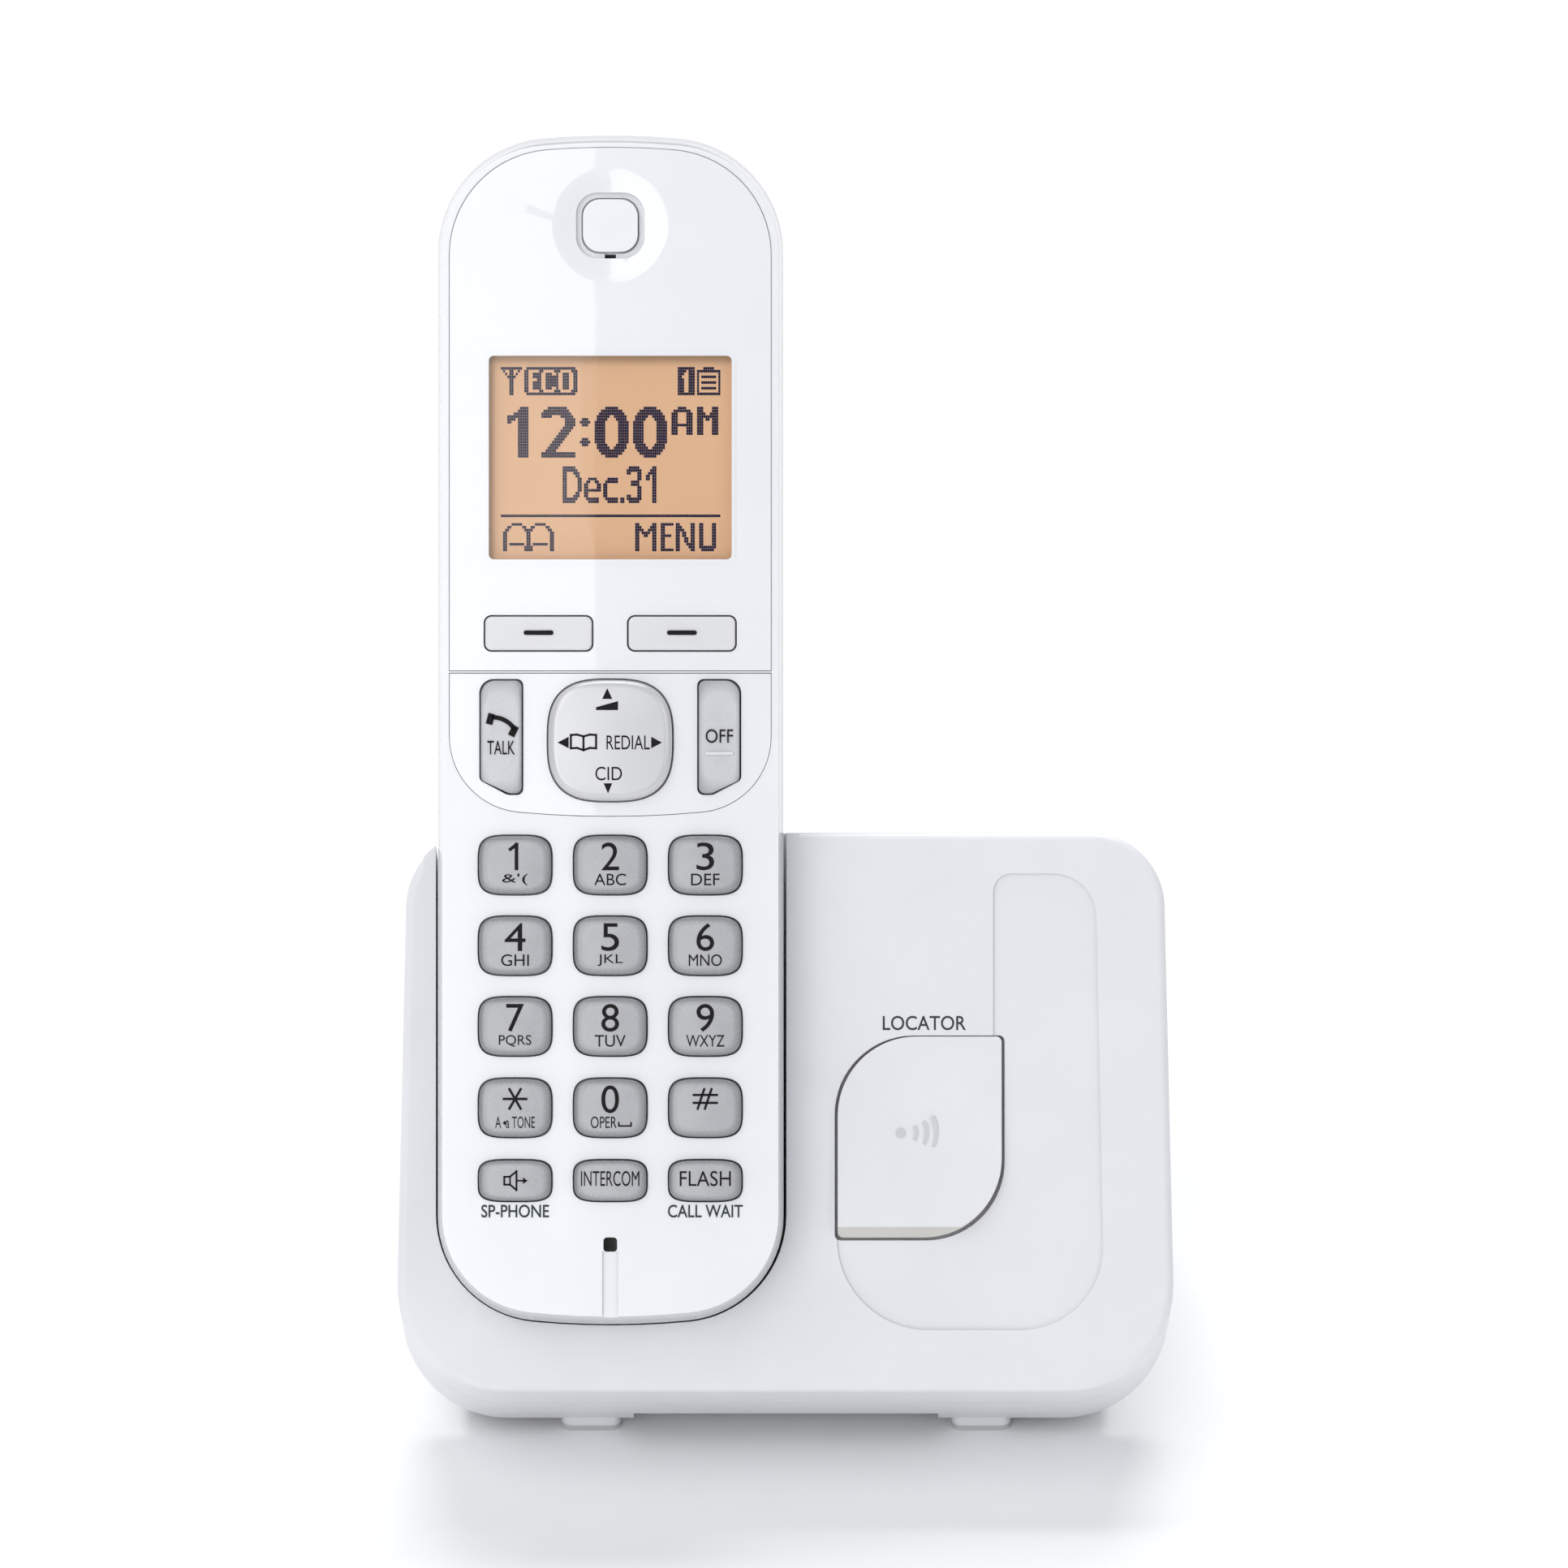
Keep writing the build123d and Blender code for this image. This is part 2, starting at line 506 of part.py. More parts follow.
for name, (x_key, v_key, w_key, h_key, power) in zip(KEY_NAMES, key_sites):
    with BuildPart() as key:
        extrude(to_extrude=squircle(hand(FLANGE_TOP), x_key, v_key, w_key, h_key, power),
                amount=FLANGE_TOP + KEY_PROUD)
        crest = key.faces().sort_by(Axis(HAND.origin, NORMAL))[-1].edges()
        fillet(crest, 0.45)
        extrude(to_extrude=rounded(hand(FLANGE_TOP), x_key, v_key, w_key + 2 * FLANGE, h_key + 2 * FLANGE,
                                   2.4), amount=-0.8)
        extrude(to_extrude=disc(hand(FLANGE_TOP + 0.8), x_key, v_key, 2.0), amount=-0.8)
    key.part.label = name
    export_step(key.part, "parts/" + name + ".step")

for name, side in (("softkey_left", -1), ("softkey_right", 1)):
    with BuildPart() as key:
        extrude(to_extrude=rounded(hand(FLANGE_TOP), side * SOFT_X, SOFT_V, SOFT_W, SOFT_H, 0.9),
                amount=FLANGE_TOP + 0.7)
        crest = key.faces().sort_by(Axis(HAND.origin, NORMAL))[-1].edges()
        fillet(crest, 0.3)
        extrude(to_extrude=rounded(hand(FLANGE_TOP), side * SOFT_X, SOFT_V, SOFT_W + 1.2, SOFT_H + 1.2, 0.9),
                amount=-0.8)
        extrude(to_extrude=disc(hand(FLANGE_TOP + 0.8), side * SOFT_X, SOFT_V, 1.6), amount=-0.8)
    key.part.label = name
    export_step(key.part, "parts/" + name + ".step")

for name, side in (("key_talk", -1), ("key_off", 1)):
    with BuildPart() as key:
        extrude(to_extrude=fold_key(hand(FLANGE_TOP), side, 0), amount=FLANGE_TOP + 0.8)
        crest = key.faces().sort_by(Axis(HAND.origin, NORMAL))[-1].edges()
        fillet(crest, 0.35)
        extrude(to_extrude=fold_key(hand(FLANGE_TOP), side, 0.6), amount=-0.8)
        extrude(to_extrude=disc(hand(FLANGE_TOP + 0.8), side * 15.3, 82.0, 2.0), amount=-0.8)
    key.part.label = name
    export_step(key.part, "parts/" + name + ".step")

with BuildPart() as nav_key:
    extrude(to_extrude=squircle(hand(FLANGE_TOP), 0, NAV_V, NAV_W, NAV_H, NAV_POWER), amount=FLANGE_TOP + 1.5)
    crest = nav_key.faces().sort_by(Axis(HAND.origin, NORMAL))[-1].edges()
    fillet(crest, 0.7)
    extrude(to_extrude=rounded(hand(FLANGE_TOP), 0, NAV_V, NAV_W + 1.4, NAV_H + 1.4, 5.5), amount=-0.8)
    extrude(to_extrude=disc(hand(FLANGE_TOP + 0.8), 0, NAV_V, 4.0), amount=-0.8)
nav_key.part.label = "key_navigation"
export_step(nav_key.part, "parts/key_navigation.step")

# ============================================================================
# BASE, cases
# ============================================================================
pocket = crowned(hand(-5), HAND_W + 2 * POCKET_GAP, -POCKET_GAP, 150, HAND_CROWN, HAND_R_LOW + POCKET_GAP, 10)
tub = crowned(hand(HAND_PROUD + 0.01), HAND_W + 2 * (POCKET_GAP + TUB_WALL), -POCKET_GAP - TUB_WALL, 150,
              HAND_CROWN, HAND_R_LOW + POCKET_GAP + TUB_WALL, 10)
tub_room = crowned(hand(HAND_PROUD), HAND_W + 2 * (POCKET_GAP + TUB_WALL) + 0.3, -POCKET_GAP - TUB_WALL - 0.15,
                   150, HAND_CROWN, HAND_R_LOW + POCKET_GAP + TUB_WALL, 10)
POCKET_DEPTH = HAND_T + POCKET_BACK
TUB_DEPTH = POCKET_DEPTH + TUB_WALL - HAND_PROUD

with BuildPart() as slab_solid:
    extrude(to_extrude=slab_outline(FACE, 0), amount=SLAB_DIR.length, dir=SLAB_DIR)

with BuildPart() as slab_top_solid:
    extrude(to_extrude=slab_outline(FACE, 0), amount=SLAB_DIR.length * PART_H / SLAB, dir=SLAB_DIR)
    fillet(slab_top_solid.faces().sort_by(Axis(FACE.origin, NORMAL))[-1].edges(), 1.2)

with BuildPart() as tub_solid:
    extrude(to_extrude=tub, amount=-TUB_DEPTH)
    add(slab_solid.part, mode=Mode.INTERSECT)

with BuildPart() as upper_case:
    add(slab_top_solid.part)
    extrude(to_extrude=slab_outline(shifted(-WALL), WALL), amount=SLAB_DIR.length, dir=SLAB_DIR,
            mode=Mode.SUBTRACT)
    add(tub_solid.part)
    extrude(to_extrude=pocket, amount=-(POCKET_DEPTH + 5), mode=Mode.SUBTRACT)
    # sunk panel beside and under the locator button
    extrude(to_extrude=bevelled(FACE.offset(-0.4), ((29.0, 72.2), (43.3, 72.2), (44.6, 8.5), (7.2, 8.5),
                                                    (7.2, 22.0), (29.0, 22.0)), (2.5, 6.0, 11.5, 12.8, 0, 0)),
            amount=5, mode=Mode.SUBTRACT)
    # opening of the locator button
    extrude(to_extrude=leaf(FACE.offset(-WALL - 1), 0.4), amount=8, mode=Mode.SUBTRACT)
    # slots for the charge contacts in the pocket floor
    for x_term in TERMINALS:
        extrude(to_extrude=plain(hand(16.0), x_term - 1.5, x_term + 1.5, -4, 2), amount=-3.0,
                mode=Mode.SUBTRACT)
upper_case.part.label = "base_upper_case"
export_step(upper_case.part, "parts/base_upper_case.step")

JACKS = (("line_jack", 22.0, 13.0, 12.0, 9.8, 6.9), ("power_jack", -8.0, 10.0, 9.0, 6.6, 5.0))
JACK_Z = 7.2
JACK_LOW = JACK_Z + 2.0

with BuildPart() as wedge:
    extrude(to_extrude=bevelled(FOOT_SIDE, ((21.5, CLEAR_Z), (84.0, CLEAR_Z), (84.0, REAR_Z), (53.6, 62.9),
                                            (42.0, 50.0), (18.0, 9.0)), (0, 3.0, 7.0, 2.5, 0, 0)),
            amount=2 * WEDGE_HALF)
    fillet(wedge.edges().group_by(Axis.X)[0] + wedge.edges().group_by(Axis.X)[-1], 2.2)

with BuildPart() as lower_case:
    extrude(to_extrude=slab_outline(shifted(-PART_H - PART_GAP), 0),
            amount=SLAB_DIR.length * (SLAB - PART_H - PART_GAP) / SLAB, dir=SLAB_DIR)
    add(wedge.part)
    extrude(to_extrude=bevelled(FOOT_SIDE.offset(WALL), ((25.0, CLEAR_Z + WALL), (82.0, CLEAR_Z + WALL),
                                                         (82.0, REAR_Z - 1), (53.4, 60.0), (40.0, 48.0),
                                                         (20.5, 10.0)),
                                (0, 1.5, 6.0, 1.0, 0, 0)), amount=2 * (WEDGE_HALF - WALL), mode=Mode.SUBTRACT)
    extrude(to_extrude=slab_outline(shifted(-PART_H), WALL),
            amount=SLAB_DIR.length * (SLAB - PART_H - WALL) / SLAB, dir=SLAB_DIR, mode=Mode.SUBTRACT)
    extrude(to_extrude=tub_room, amount=-(TUB_DEPTH + 0.3), mode=Mode.SUBTRACT)
    # raised sill between the front feet
    with BuildSketch(TABLE):
        with Locations((0.1, 20)):
            Rectangle(43.0, 20)
    extrude(amount=4.57, mode=Mode.SUBTRACT)
    with BuildSketch(TABLE.offset(4.57)):
        with Locations((0.1, 24.2)):
            Rectangle(46.0, 15.6)
    extrude(amount=1.8)
    with BuildSketch(TABLE.offset(CLEAR_Z)):
        with Locations((0.1, 31.0)):
            Rectangle(46.0, 2.0)
    extrude(amount=3.5)
    # windows for the two sockets in the rear wall
    for name, x_jack, w_jack, h_jack, w_hole, h_hole in JACKS:
        with BuildSketch(Plane(origin=(x_jack, REAR_Y + 1, JACK_Z + h_jack / 2), x_dir=(1, 0, 0),
                               z_dir=(0, -1, 0))):
            Rectangle(w_jack + 0.4, h_jack + 0.4)
        extrude(amount=5, mode=Mode.SUBTRACT)
    # screw bosses in the floor
    for x_boss in (-38.0, 38.0):
        with BuildSketch(TABLE.offset(CLEAR_Z)):
            with Locations((x_boss, 48.0)):
                Circle(4.0)
        extrude(amount=9.0)
        with BuildSketch(TABLE):
            with Locations((x_boss, 48.0)):
                Circle(3.0)
        extrude(amount=5.0, mode=Mode.SUBTRACT)
        with BuildSketch(TABLE):
            with Locations((x_boss, 48.0)):
                Circle(1.5)
        extrude(amount=20.0, mode=Mode.SUBTRACT)
    # block under each front foot
    for x_foot in (-27.45, 27.7):
        with BuildSketch(Plane(origin=(0, 0, 0.8))):
            with Locations((x_foot, FRONT_Y + 22.5)):
                RectangleRounded(8.4, 9.0, 1.5)
        extrude(amount=4.5)
lower_case.part.label = "base_lower_case"
export_step(lower_case.part, "parts/base_lower_case.step")

# ============================================================================
# BASE, inner pieces, feet and the locator button
# ============================================================================
for name, x_jack, w_jack, h_jack, w_hole, h_hole in JACKS:
    jack_mouth = Plane(origin=(x_jack, REAR_Y + 0.3, JACK_Z + h_jack / 2), x_dir=(1, 0, 0), z_dir=(0, 1, 0))
    with BuildPart() as jack:
        with BuildSketch(jack_mouth):
            Rectangle(w_jack, h_jack)
        extrude(amount=-17.0)
        with BuildSketch(jack_mouth):
            Rectangle(w_hole, h_hole)
        extrude(amount=-13.0, mode=Mode.SUBTRACT)
        # notch of the plug's latch, on the table side
        with BuildSketch(jack_mouth):
            with Locations((0, -h_hole / 2 - 0.6)):
                Rectangle(w_hole * 0.36, 1.2)
        extrude(amount=-9.0, mode=Mode.SUBTRACT)
    jack.part.label = name
    export_step(jack.part, "parts/" + name + ".step")

with BuildPart() as jack_board:
    with BuildSketch(TABLE.offset(JACK_Z - 1.5)):
        with Locations((8, 70)):
            Rectangle(62, 20)
    extrude(amount=1.4)
jack_board.part.label = "jack_board"
export_step(jack_board.part, "parts/jack_board.step")

with BuildPart() as base_board:
    extrude(to_extrude=plain(FACE.offset(-12.0), 4.5, 48.0, 8.0, 66.0), amount=-1.4)
base_board.part.label = "base_circuit_board"
export_step(base_board.part, "parts/base_circuit_board.step")

with BuildPart() as base_shield:
    extrude(to_extrude=plain(FACE.offset(-13.4), 10, 42, 30, 60), amount=-3.0)
    extrude(to_extrude=plain(FACE.offset(-13.0), 10.3, 41.7, 30.3, 59.7), amount=-3.1, mode=Mode.SUBTRACT)
base_shield.part.label = "base_shield_can"
export_step(base_shield.part, "parts/base_shield_can.step")

with BuildPart() as base_antenna:
    extrude(to_extrude=plain(FACE.offset(-12.0), 8, 9, 62, 66), amount=6)
    extrude(to_extrude=plain(FACE.offset(-6.0), 8, 30, 62, 66), amount=-0.4)
base_antenna.part.label = "base_antenna"
export_step(base_antenna.part, "parts/base_antenna.step")

with BuildPart() as locator_switch:
    extrude(to_extrude=plain(FACE.offset(-12.0), 15.7, 21.7, 32.3, 38.3), amount=4.0)
    extrude(to_extrude=disc(FACE.offset(-8.0), 18.7, 35.3, 1.7), amount=0.8)
locator_switch.part.label = "locator_switch"
export_step(locator_switch.part, "parts/locator_switch.step")

with BuildPart() as locator_button:
    extrude(to_extrude=leaf(FACE.offset(-2.1), 0), amount=4.0)
    # the top face rises towards the user's hand, and drops away at its lower edge
    tilt_top = Plane(origin=FACE.from_local_coords((0, 49.2, 0.1)), x_dir=(1, 0, 0),
                     z_dir=FACE.from_local_coords((0, 0.058, 1)) - FACE.origin)
    split(bisect_by=tilt_top, keep=Keep.BOTTOM)
    tilt_low = Plane(origin=FACE.from_local_coords((0, 22.9, 1.62)), x_dir=(1, 0, 0),
                     z_dir=FACE.from_local_coords((0, -1, 1)) - FACE.origin)
    split(bisect_by=tilt_low, keep=Keep.BOTTOM)
    extrude(to_extrude=leaf(FACE.offset(-2.1), 1.2), amount=-1.0)
    extrude(to_extrude=disc(FACE.offset(-3.1), 18.7, 35.3, 2.5), amount=-2.7)
locator_button.part.label = "locator_button"
export_step(locator_button.part, "parts/locator_button.step")

for label, x_term in (("charge_contact_left", -8.0), ("charge_contact_right", 8.0)):
    with BuildPart() as contact:
        extrude(to_extrude=plain(hand(16.4), x_term - 1.3, x_term + 1.3, -6.0, 0.15), amount=-0.5)
        extrude(to_extrude=plain(hand(18.1), x_term - 1.3, x_term + 1.3, -6.0, 0.15), amount=-0.5)
        extrude(to_extrude=plain(hand(16.4), x_term - 1.3, x_term + 1.3, -0.35, 0.15), amount=-2.2)
    contact.part.label = label
    export_step(contact.part, "parts/" + label + ".step")

with BuildPart() as contact_carrier:
    extrude(to_extrude=plain(hand(14.5), -12, 12, -7.0, -2.9), amount=-6.0)
    for x_term in TERMINALS:
        extrude(to_extrude=plain(hand(16.3), x_term - 1.4, x_term + 1.4, -8, 0), amount=-2.4,
                mode=Mode.SUBTRACT)
contact_carrier.part.label = "charge_contact_carrier"
export_step(contact_carrier.part, "parts/charge_contact_carrier.step")

with BuildPart() as front_pads:
    for x_foot in (-27.45, 27.7):
        with BuildSketch(TABLE):
            with Locations((x_foot, 22.5)):
                RectangleRounded(8.4, 9.0, 1.5)
        extrude(amount=0.8)
front_pads.part.label = "front_foot_pads"
export_step(front_pads.part, "parts/front_foot_pads.step")

with BuildPart() as rear_pads:
    for x_foot in (-36.0, 36.0):
        with BuildSketch(TABLE):
            with Locations((x_foot, 74.0)):
                Circle(5.0)
        extrude(amount=CLEAR_Z)
rear_pads.part.label = "rear_foot_pads"
export_step(rear_pads.part, "parts/rear_foot_pads.step")

with BuildPart() as base_screws:
    for x_boss in (-38.0, 38.0):
        with BuildSketch(TABLE.offset(3.5)):
            with Locations((x_boss, 48.0)):
                Circle(2.8)
        extrude(amount=1.5)
        with BuildSketch(TABLE.offset(5.0)):
            with Locations((x_boss, 48.0)):
                Circle(1.4)
        extrude(amount=8.0)
        with BuildSketch(TABLE.offset(3.5)):
            with Locations((x_boss, 48.0)):
                Rectangle(3.4, 0.8)
                Rectangle(0.8, 3.4)
        extrude(amount=0.8, mode=Mode.SUBTRACT)
base_screws.part.label = "base_screws"
export_step(base_screws.part, "parts/base_screws.step")
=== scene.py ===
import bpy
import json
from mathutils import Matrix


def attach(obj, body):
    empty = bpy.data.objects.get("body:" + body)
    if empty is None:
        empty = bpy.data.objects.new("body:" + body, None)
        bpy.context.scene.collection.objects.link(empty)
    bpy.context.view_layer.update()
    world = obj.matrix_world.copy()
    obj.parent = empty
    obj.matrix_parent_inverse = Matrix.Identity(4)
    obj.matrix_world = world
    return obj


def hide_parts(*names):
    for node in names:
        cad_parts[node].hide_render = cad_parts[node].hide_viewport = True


bl_info = {
    "name": "Cordless phone with base",
    "version": (1, 0, 0),
    "blender": (4, 5, 0),
    "location": "View3D > Sidebar > Phone",
    "description": "Finishes, keys and prints of a cordless phone standing in its base",
    "category": "Object",
}

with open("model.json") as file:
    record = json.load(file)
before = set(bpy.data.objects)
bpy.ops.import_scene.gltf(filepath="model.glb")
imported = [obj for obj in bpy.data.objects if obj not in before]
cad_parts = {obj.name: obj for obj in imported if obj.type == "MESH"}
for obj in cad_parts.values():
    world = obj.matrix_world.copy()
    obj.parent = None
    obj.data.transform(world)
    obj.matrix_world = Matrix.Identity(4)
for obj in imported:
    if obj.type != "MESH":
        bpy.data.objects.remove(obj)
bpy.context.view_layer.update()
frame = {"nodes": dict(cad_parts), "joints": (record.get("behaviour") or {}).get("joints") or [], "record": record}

import json
import math

import bmesh
import bpy
from bpy.props import FloatProperty, FloatVectorProperty
from mathutils import Matrix, Vector
from mathutils.bvhtree import BVHTree

NODES = frame["nodes"]
JOINTS = {joint["name"]: joint for joint in frame["joints"]}
MM = 0.001

# ---------------------------------------------------------------------------
# Places: the handset's face and the base's face, each with its own millimetres
# ---------------------------------------------------------------------------
UP = Vector(JOINTS["handset_lift"]["axis"]).normalized()
OUT = -Vector(JOINTS["key_5_press"]["axis"]).normalized()
RIGHT = UP.cross(OUT)
RIM_DROP = 2.164 * MM     # the base's face starts this far above its joint line


def reach(node, axis):
    """Lowest and highest point of a CAD node along an axis, in metres."""
    along = [vertex.co.dot(axis) for vertex in NODES[node].data.vertices]
    return min(along), max(along)


def face_frame(x, up, out):
    """Matrix from millimetres on a sloping face to the row frame."""
    turn = Matrix((RIGHT, UP, OUT)).transposed().to_4x4()
    return Matrix.Translation(RIGHT * x + UP * up + OUT * out) @ turn @ Matrix.Scale(MM, 4)


HAND_LEFT, HAND_RIGHT = reach("handset_front_case", RIGHT)
HAND = face_frame((HAND_LEFT + HAND_RIGHT) / 2, reach("handset_front_case", UP)[0],
                  reach("window_plate", OUT)[1])
BASE = face_frame(0.0, reach("base_upper_case", UP)[0] + RIM_DROP, reach("base_upper_case", OUT)[1])

KEY_COLUMNS = (-13.2, 0.0, 13.2)
KEY_ROWS = (63.9, 52.7, 41.5, 30.2)
FUNCTION_ROW = 20.1
KEY_SIZE = (10.0, 8.05)
FUNCTION_SIZE = (10.0, 5.6)
KEY_POWER = 3.9
NAV_SIZE = (17.2, 16.8)
NAV_POWER = 2.9
DIGIT_KEYS = ("key_1", "key_2", "key_3", "key_4", "key_5", "key_6",
              "key_7", "key_8", "key_9", "key_star", "key_0", "key_hash")
FUNCTION_KEYS = ("key_speaker", "key_intercom", "key_flash")
NAV_V = 81.2
SOFT_V = 96.05
SOFT_X = 9.95
DISPLAY_V = (106.35, 134.6)
DISPLAY_HALF = 16.85
FACE_END = 78.2           # upper edge of the base's face
PANEL_STEP = 0.4          # depth of the sunk panel
BUTTON_V = (21.4, 49.2)   # lower and upper edge of the locator button


class PhoneSizes(bpy.types.PropertyGroup):
    """Sizes a maker would change."""
    key_rise: FloatProperty(name="Key rise", description="Keys above the face",
                            default=0.0009, unit="LENGTH")
    key_crown: FloatProperty(name="Key crown", description="Height of the domed part of a key",
                             default=0.0005, unit="LENGTH")
    nav_rise: FloatProperty(name="Navigation rise", description="Navigation key above the face",
                            default=0.0015, unit="LENGTH")
    edge: FloatProperty(name="Edge radius", description="Rounding of moulded edges",
                        default=0.0003, unit="LENGTH")
    ink: FloatProperty(name="Print thickness", description="Thickness of the printed ink",
                       default=0.00003, unit="LENGTH")
    dot_width: FloatProperty(name="Dot width", description="Pitch of the display's dots, across",
                             default=0.0002964, unit="LENGTH")
    dot_height: FloatProperty(name="Dot height", description="Pitch of the display's dots, up",
                              default=0.0003943, unit="LENGTH")


class PhoneColours(bpy.types.PropertyGroup):
    """Colours a maker would change."""
    handset_white: FloatVectorProperty(name="Handset white", description="Glossy case", subtype="COLOR",
                                       default=(0.83, 0.84, 0.86))
    base_white: FloatVectorProperty(name="Base white", description="Satin case", subtype="COLOR",
                                    default=(0.76, 0.765, 0.785))
    key_grey: FloatVectorProperty(name="Key grey", description="Middle of a dialling key",
                                  subtype="COLOR", default=(0.43, 0.435, 0.45))
    # painted shade: the darker tone laid on a key's rim
    key_rim_shade: FloatVectorProperty(name="Key rim", description="Rim of a dialling key",
                                 subtype="COLOR", default=(0.205, 0.21, 0.22))
    silver: FloatVectorProperty(name="Silver", description="Silver paint", subtype="COLOR",
                                default=(0.62, 0.62, 0.63))
    ink: FloatVectorProperty(name="Ink", description="Printed characters", subtype="COLOR",
                             default=(0.012, 0.010, 0.011))
    label: FloatVectorProperty(name="Label ink", description="Print on the cases", subtype="COLOR",
                               default=(0.045, 0.056, 0.066))
    amber: FloatVectorProperty(name="Display", description="Lit display", subtype="COLOR",
                               default=(0.88, 0.53, 0.30))
    dots: FloatVectorProperty(name="Display dots", description="Dark dots of the display",
                              subtype="COLOR", default=(0.006, 0.006, 0.05))


# ---------------------------------------------------------------------------
# Materials
# ---------------------------------------------------------------------------
def new_material(name):
    """An empty material with a shader and an output."""
    material = bpy.data.materials.new(name)
    material.use_nodes = True
    nodes = material.node_tree.nodes
    nodes.clear()
    output = nodes.new("ShaderNodeOutputMaterial")
    shader = nodes.new("ShaderNodeBsdfPrincipled")
    material.node_tree.links.new(shader.outputs["BSDF"], output.inputs["Surface"])
    return material, nodes, material.node_tree.links, shader


def noise(nodes, links, scale, detail=3.0):
    """Noise on the piece's own place, scale in waves per metre."""
    place = nodes.new("ShaderNodeTexCoord")
    texture = nodes.new("ShaderNodeTexNoise")
    texture.inputs["Scale"].default_value = scale
    texture.inputs["Detail"].default_value = detail
    links.new(place.outputs["Object"], texture.inputs["Vector"])
    return texture.outputs["Fac"]


def ramp(nodes, links, value, low, high, start=0.3, end=0.7):
    """Colour between two ends, over a stretch of the value."""
    node = nodes.new("ShaderNodeValToRGB")
    node.color_ramp.elements[0].position = start
    node.color_ramp.elements[1].position = end
    node.color_ramp.elements[0].color = (*low, 1.0)
    node.color_ramp.elements[1].color = (*high, 1.0)
    links.new(value, node.inputs["Fac"])
    return node.outputs["Color"]


def spread(nodes, links, value, low, high):
    """A number between two ends, over the middle of the noise."""
    node = nodes.new("ShaderNodeMapRange")
    node.inputs["From Min"].default_value = 0.3
    node.inputs["From Max"].default_value = 0.7
    node.inputs["To Min"].default_value = low
    node.inputs["To Max"].default_value = high
    links.new(value, node.inputs["Value"])
    return node.outputs["Result"]


def bump(nodes, links, shader, value, strength, distance):
    """Fine relief from a value, distance in metres."""
    node = nodes.new("ShaderNodeBump")
    node.inputs["Strength"].default_value = strength
    node.inputs["Distance"].default_value = distance
    links.new(value, node.inputs["Height"])
    links.new(node.outputs["Normal"], shader.inputs["Normal"])


def shade(colour, factor):
    """A lighter or darker tone of a colour."""
    return tuple(min(1.0, channel * factor) for channel in colour)


def toned(nodes, links, tint, place, axis, start, end, factor):
    """Multiply a colour by a factor that sets in smoothly between two distances along an axis."""
    along = nodes.new("ShaderNodeVectorMath")
    along.operation = "DOT_PRODUCT"
    along.inputs[1].default_value = axis
    near = nodes.new("ShaderNodeMapRange")
    near.interpolation_type = "SMOOTHSTEP"
    near.inputs["From Min"].default_value = start
    near.inputs["From Max"].default_value = end
    near.inputs["To Min"].default_value = 1.0
    near.inputs["To Max"].default_value = factor
    mix = nodes.new("ShaderNodeMix")
    mix.data_type = "RGBA"
    mix.blend_type = "MULTIPLY"
    mix.inputs["Factor"].default_value = 1.0
    links.new(place, along.inputs[0])
    links.new(along.outputs["Value"], near.inputs["Value"])
    links.new(tint, mix.inputs["A"])
    links.new(near.outputs["Result"], mix.inputs["B"])
    return mix.outputs["Result"]


def moulded(name, colour, gloss=0.3, grain=2500.0, depth=0.15, coat=0.0, metallic=0.0, vary=0.03,
            soft=0.0, shine=0.5, coat_gloss=0.06, rim=0.0):
    """Moulded surface: faint cloudiness, uneven gloss, a fine skin and, with rim, painted shade that greys the
    faces turned away from the front.
    """
    material, nodes, links, shader = new_material(name)
    clouds = noise(nodes, links, 90.0)
    skin = noise(nodes, links, grain, detail=2.0)
    tint = ramp(nodes, links, clouds, shade(colour, 1 - vary), shade(colour, 1 + vary))
    # painted shade: the tone darkens by the rim factor as a face's normal turns away from the front
    if rim > 0:
        place = nodes.new("ShaderNodeTexCoord")
        tint = toned(nodes, links, tint, place.outputs["Normal"], OUT, 0.93, 0.45, 1 - rim)
    links.new(tint, shader.inputs["Base Color"])
    links.new(spread(nodes, links, skin, gloss * 0.88, gloss * 1.12), shader.inputs["Roughness"])
    bump(nodes, links, shader, skin, depth, 0.00002)
    shader.inputs["Metallic"].default_value = metallic
    shader.inputs["Coat Weight"].default_value = coat
    shader.inputs["Coat Roughness"].default_value = coat_gloss
    shader.inputs["Specular IOR Level"].default_value = shine
    if soft > 0:
        shader.inputs["Subsurface Weight"].default_value = soft
        shader.inputs["Subsurface Radius"].default_value = (0.0012, 0.0011, 0.0010)
        shader.inputs["Subsurface Scale"].default_value = 1.0
    return material


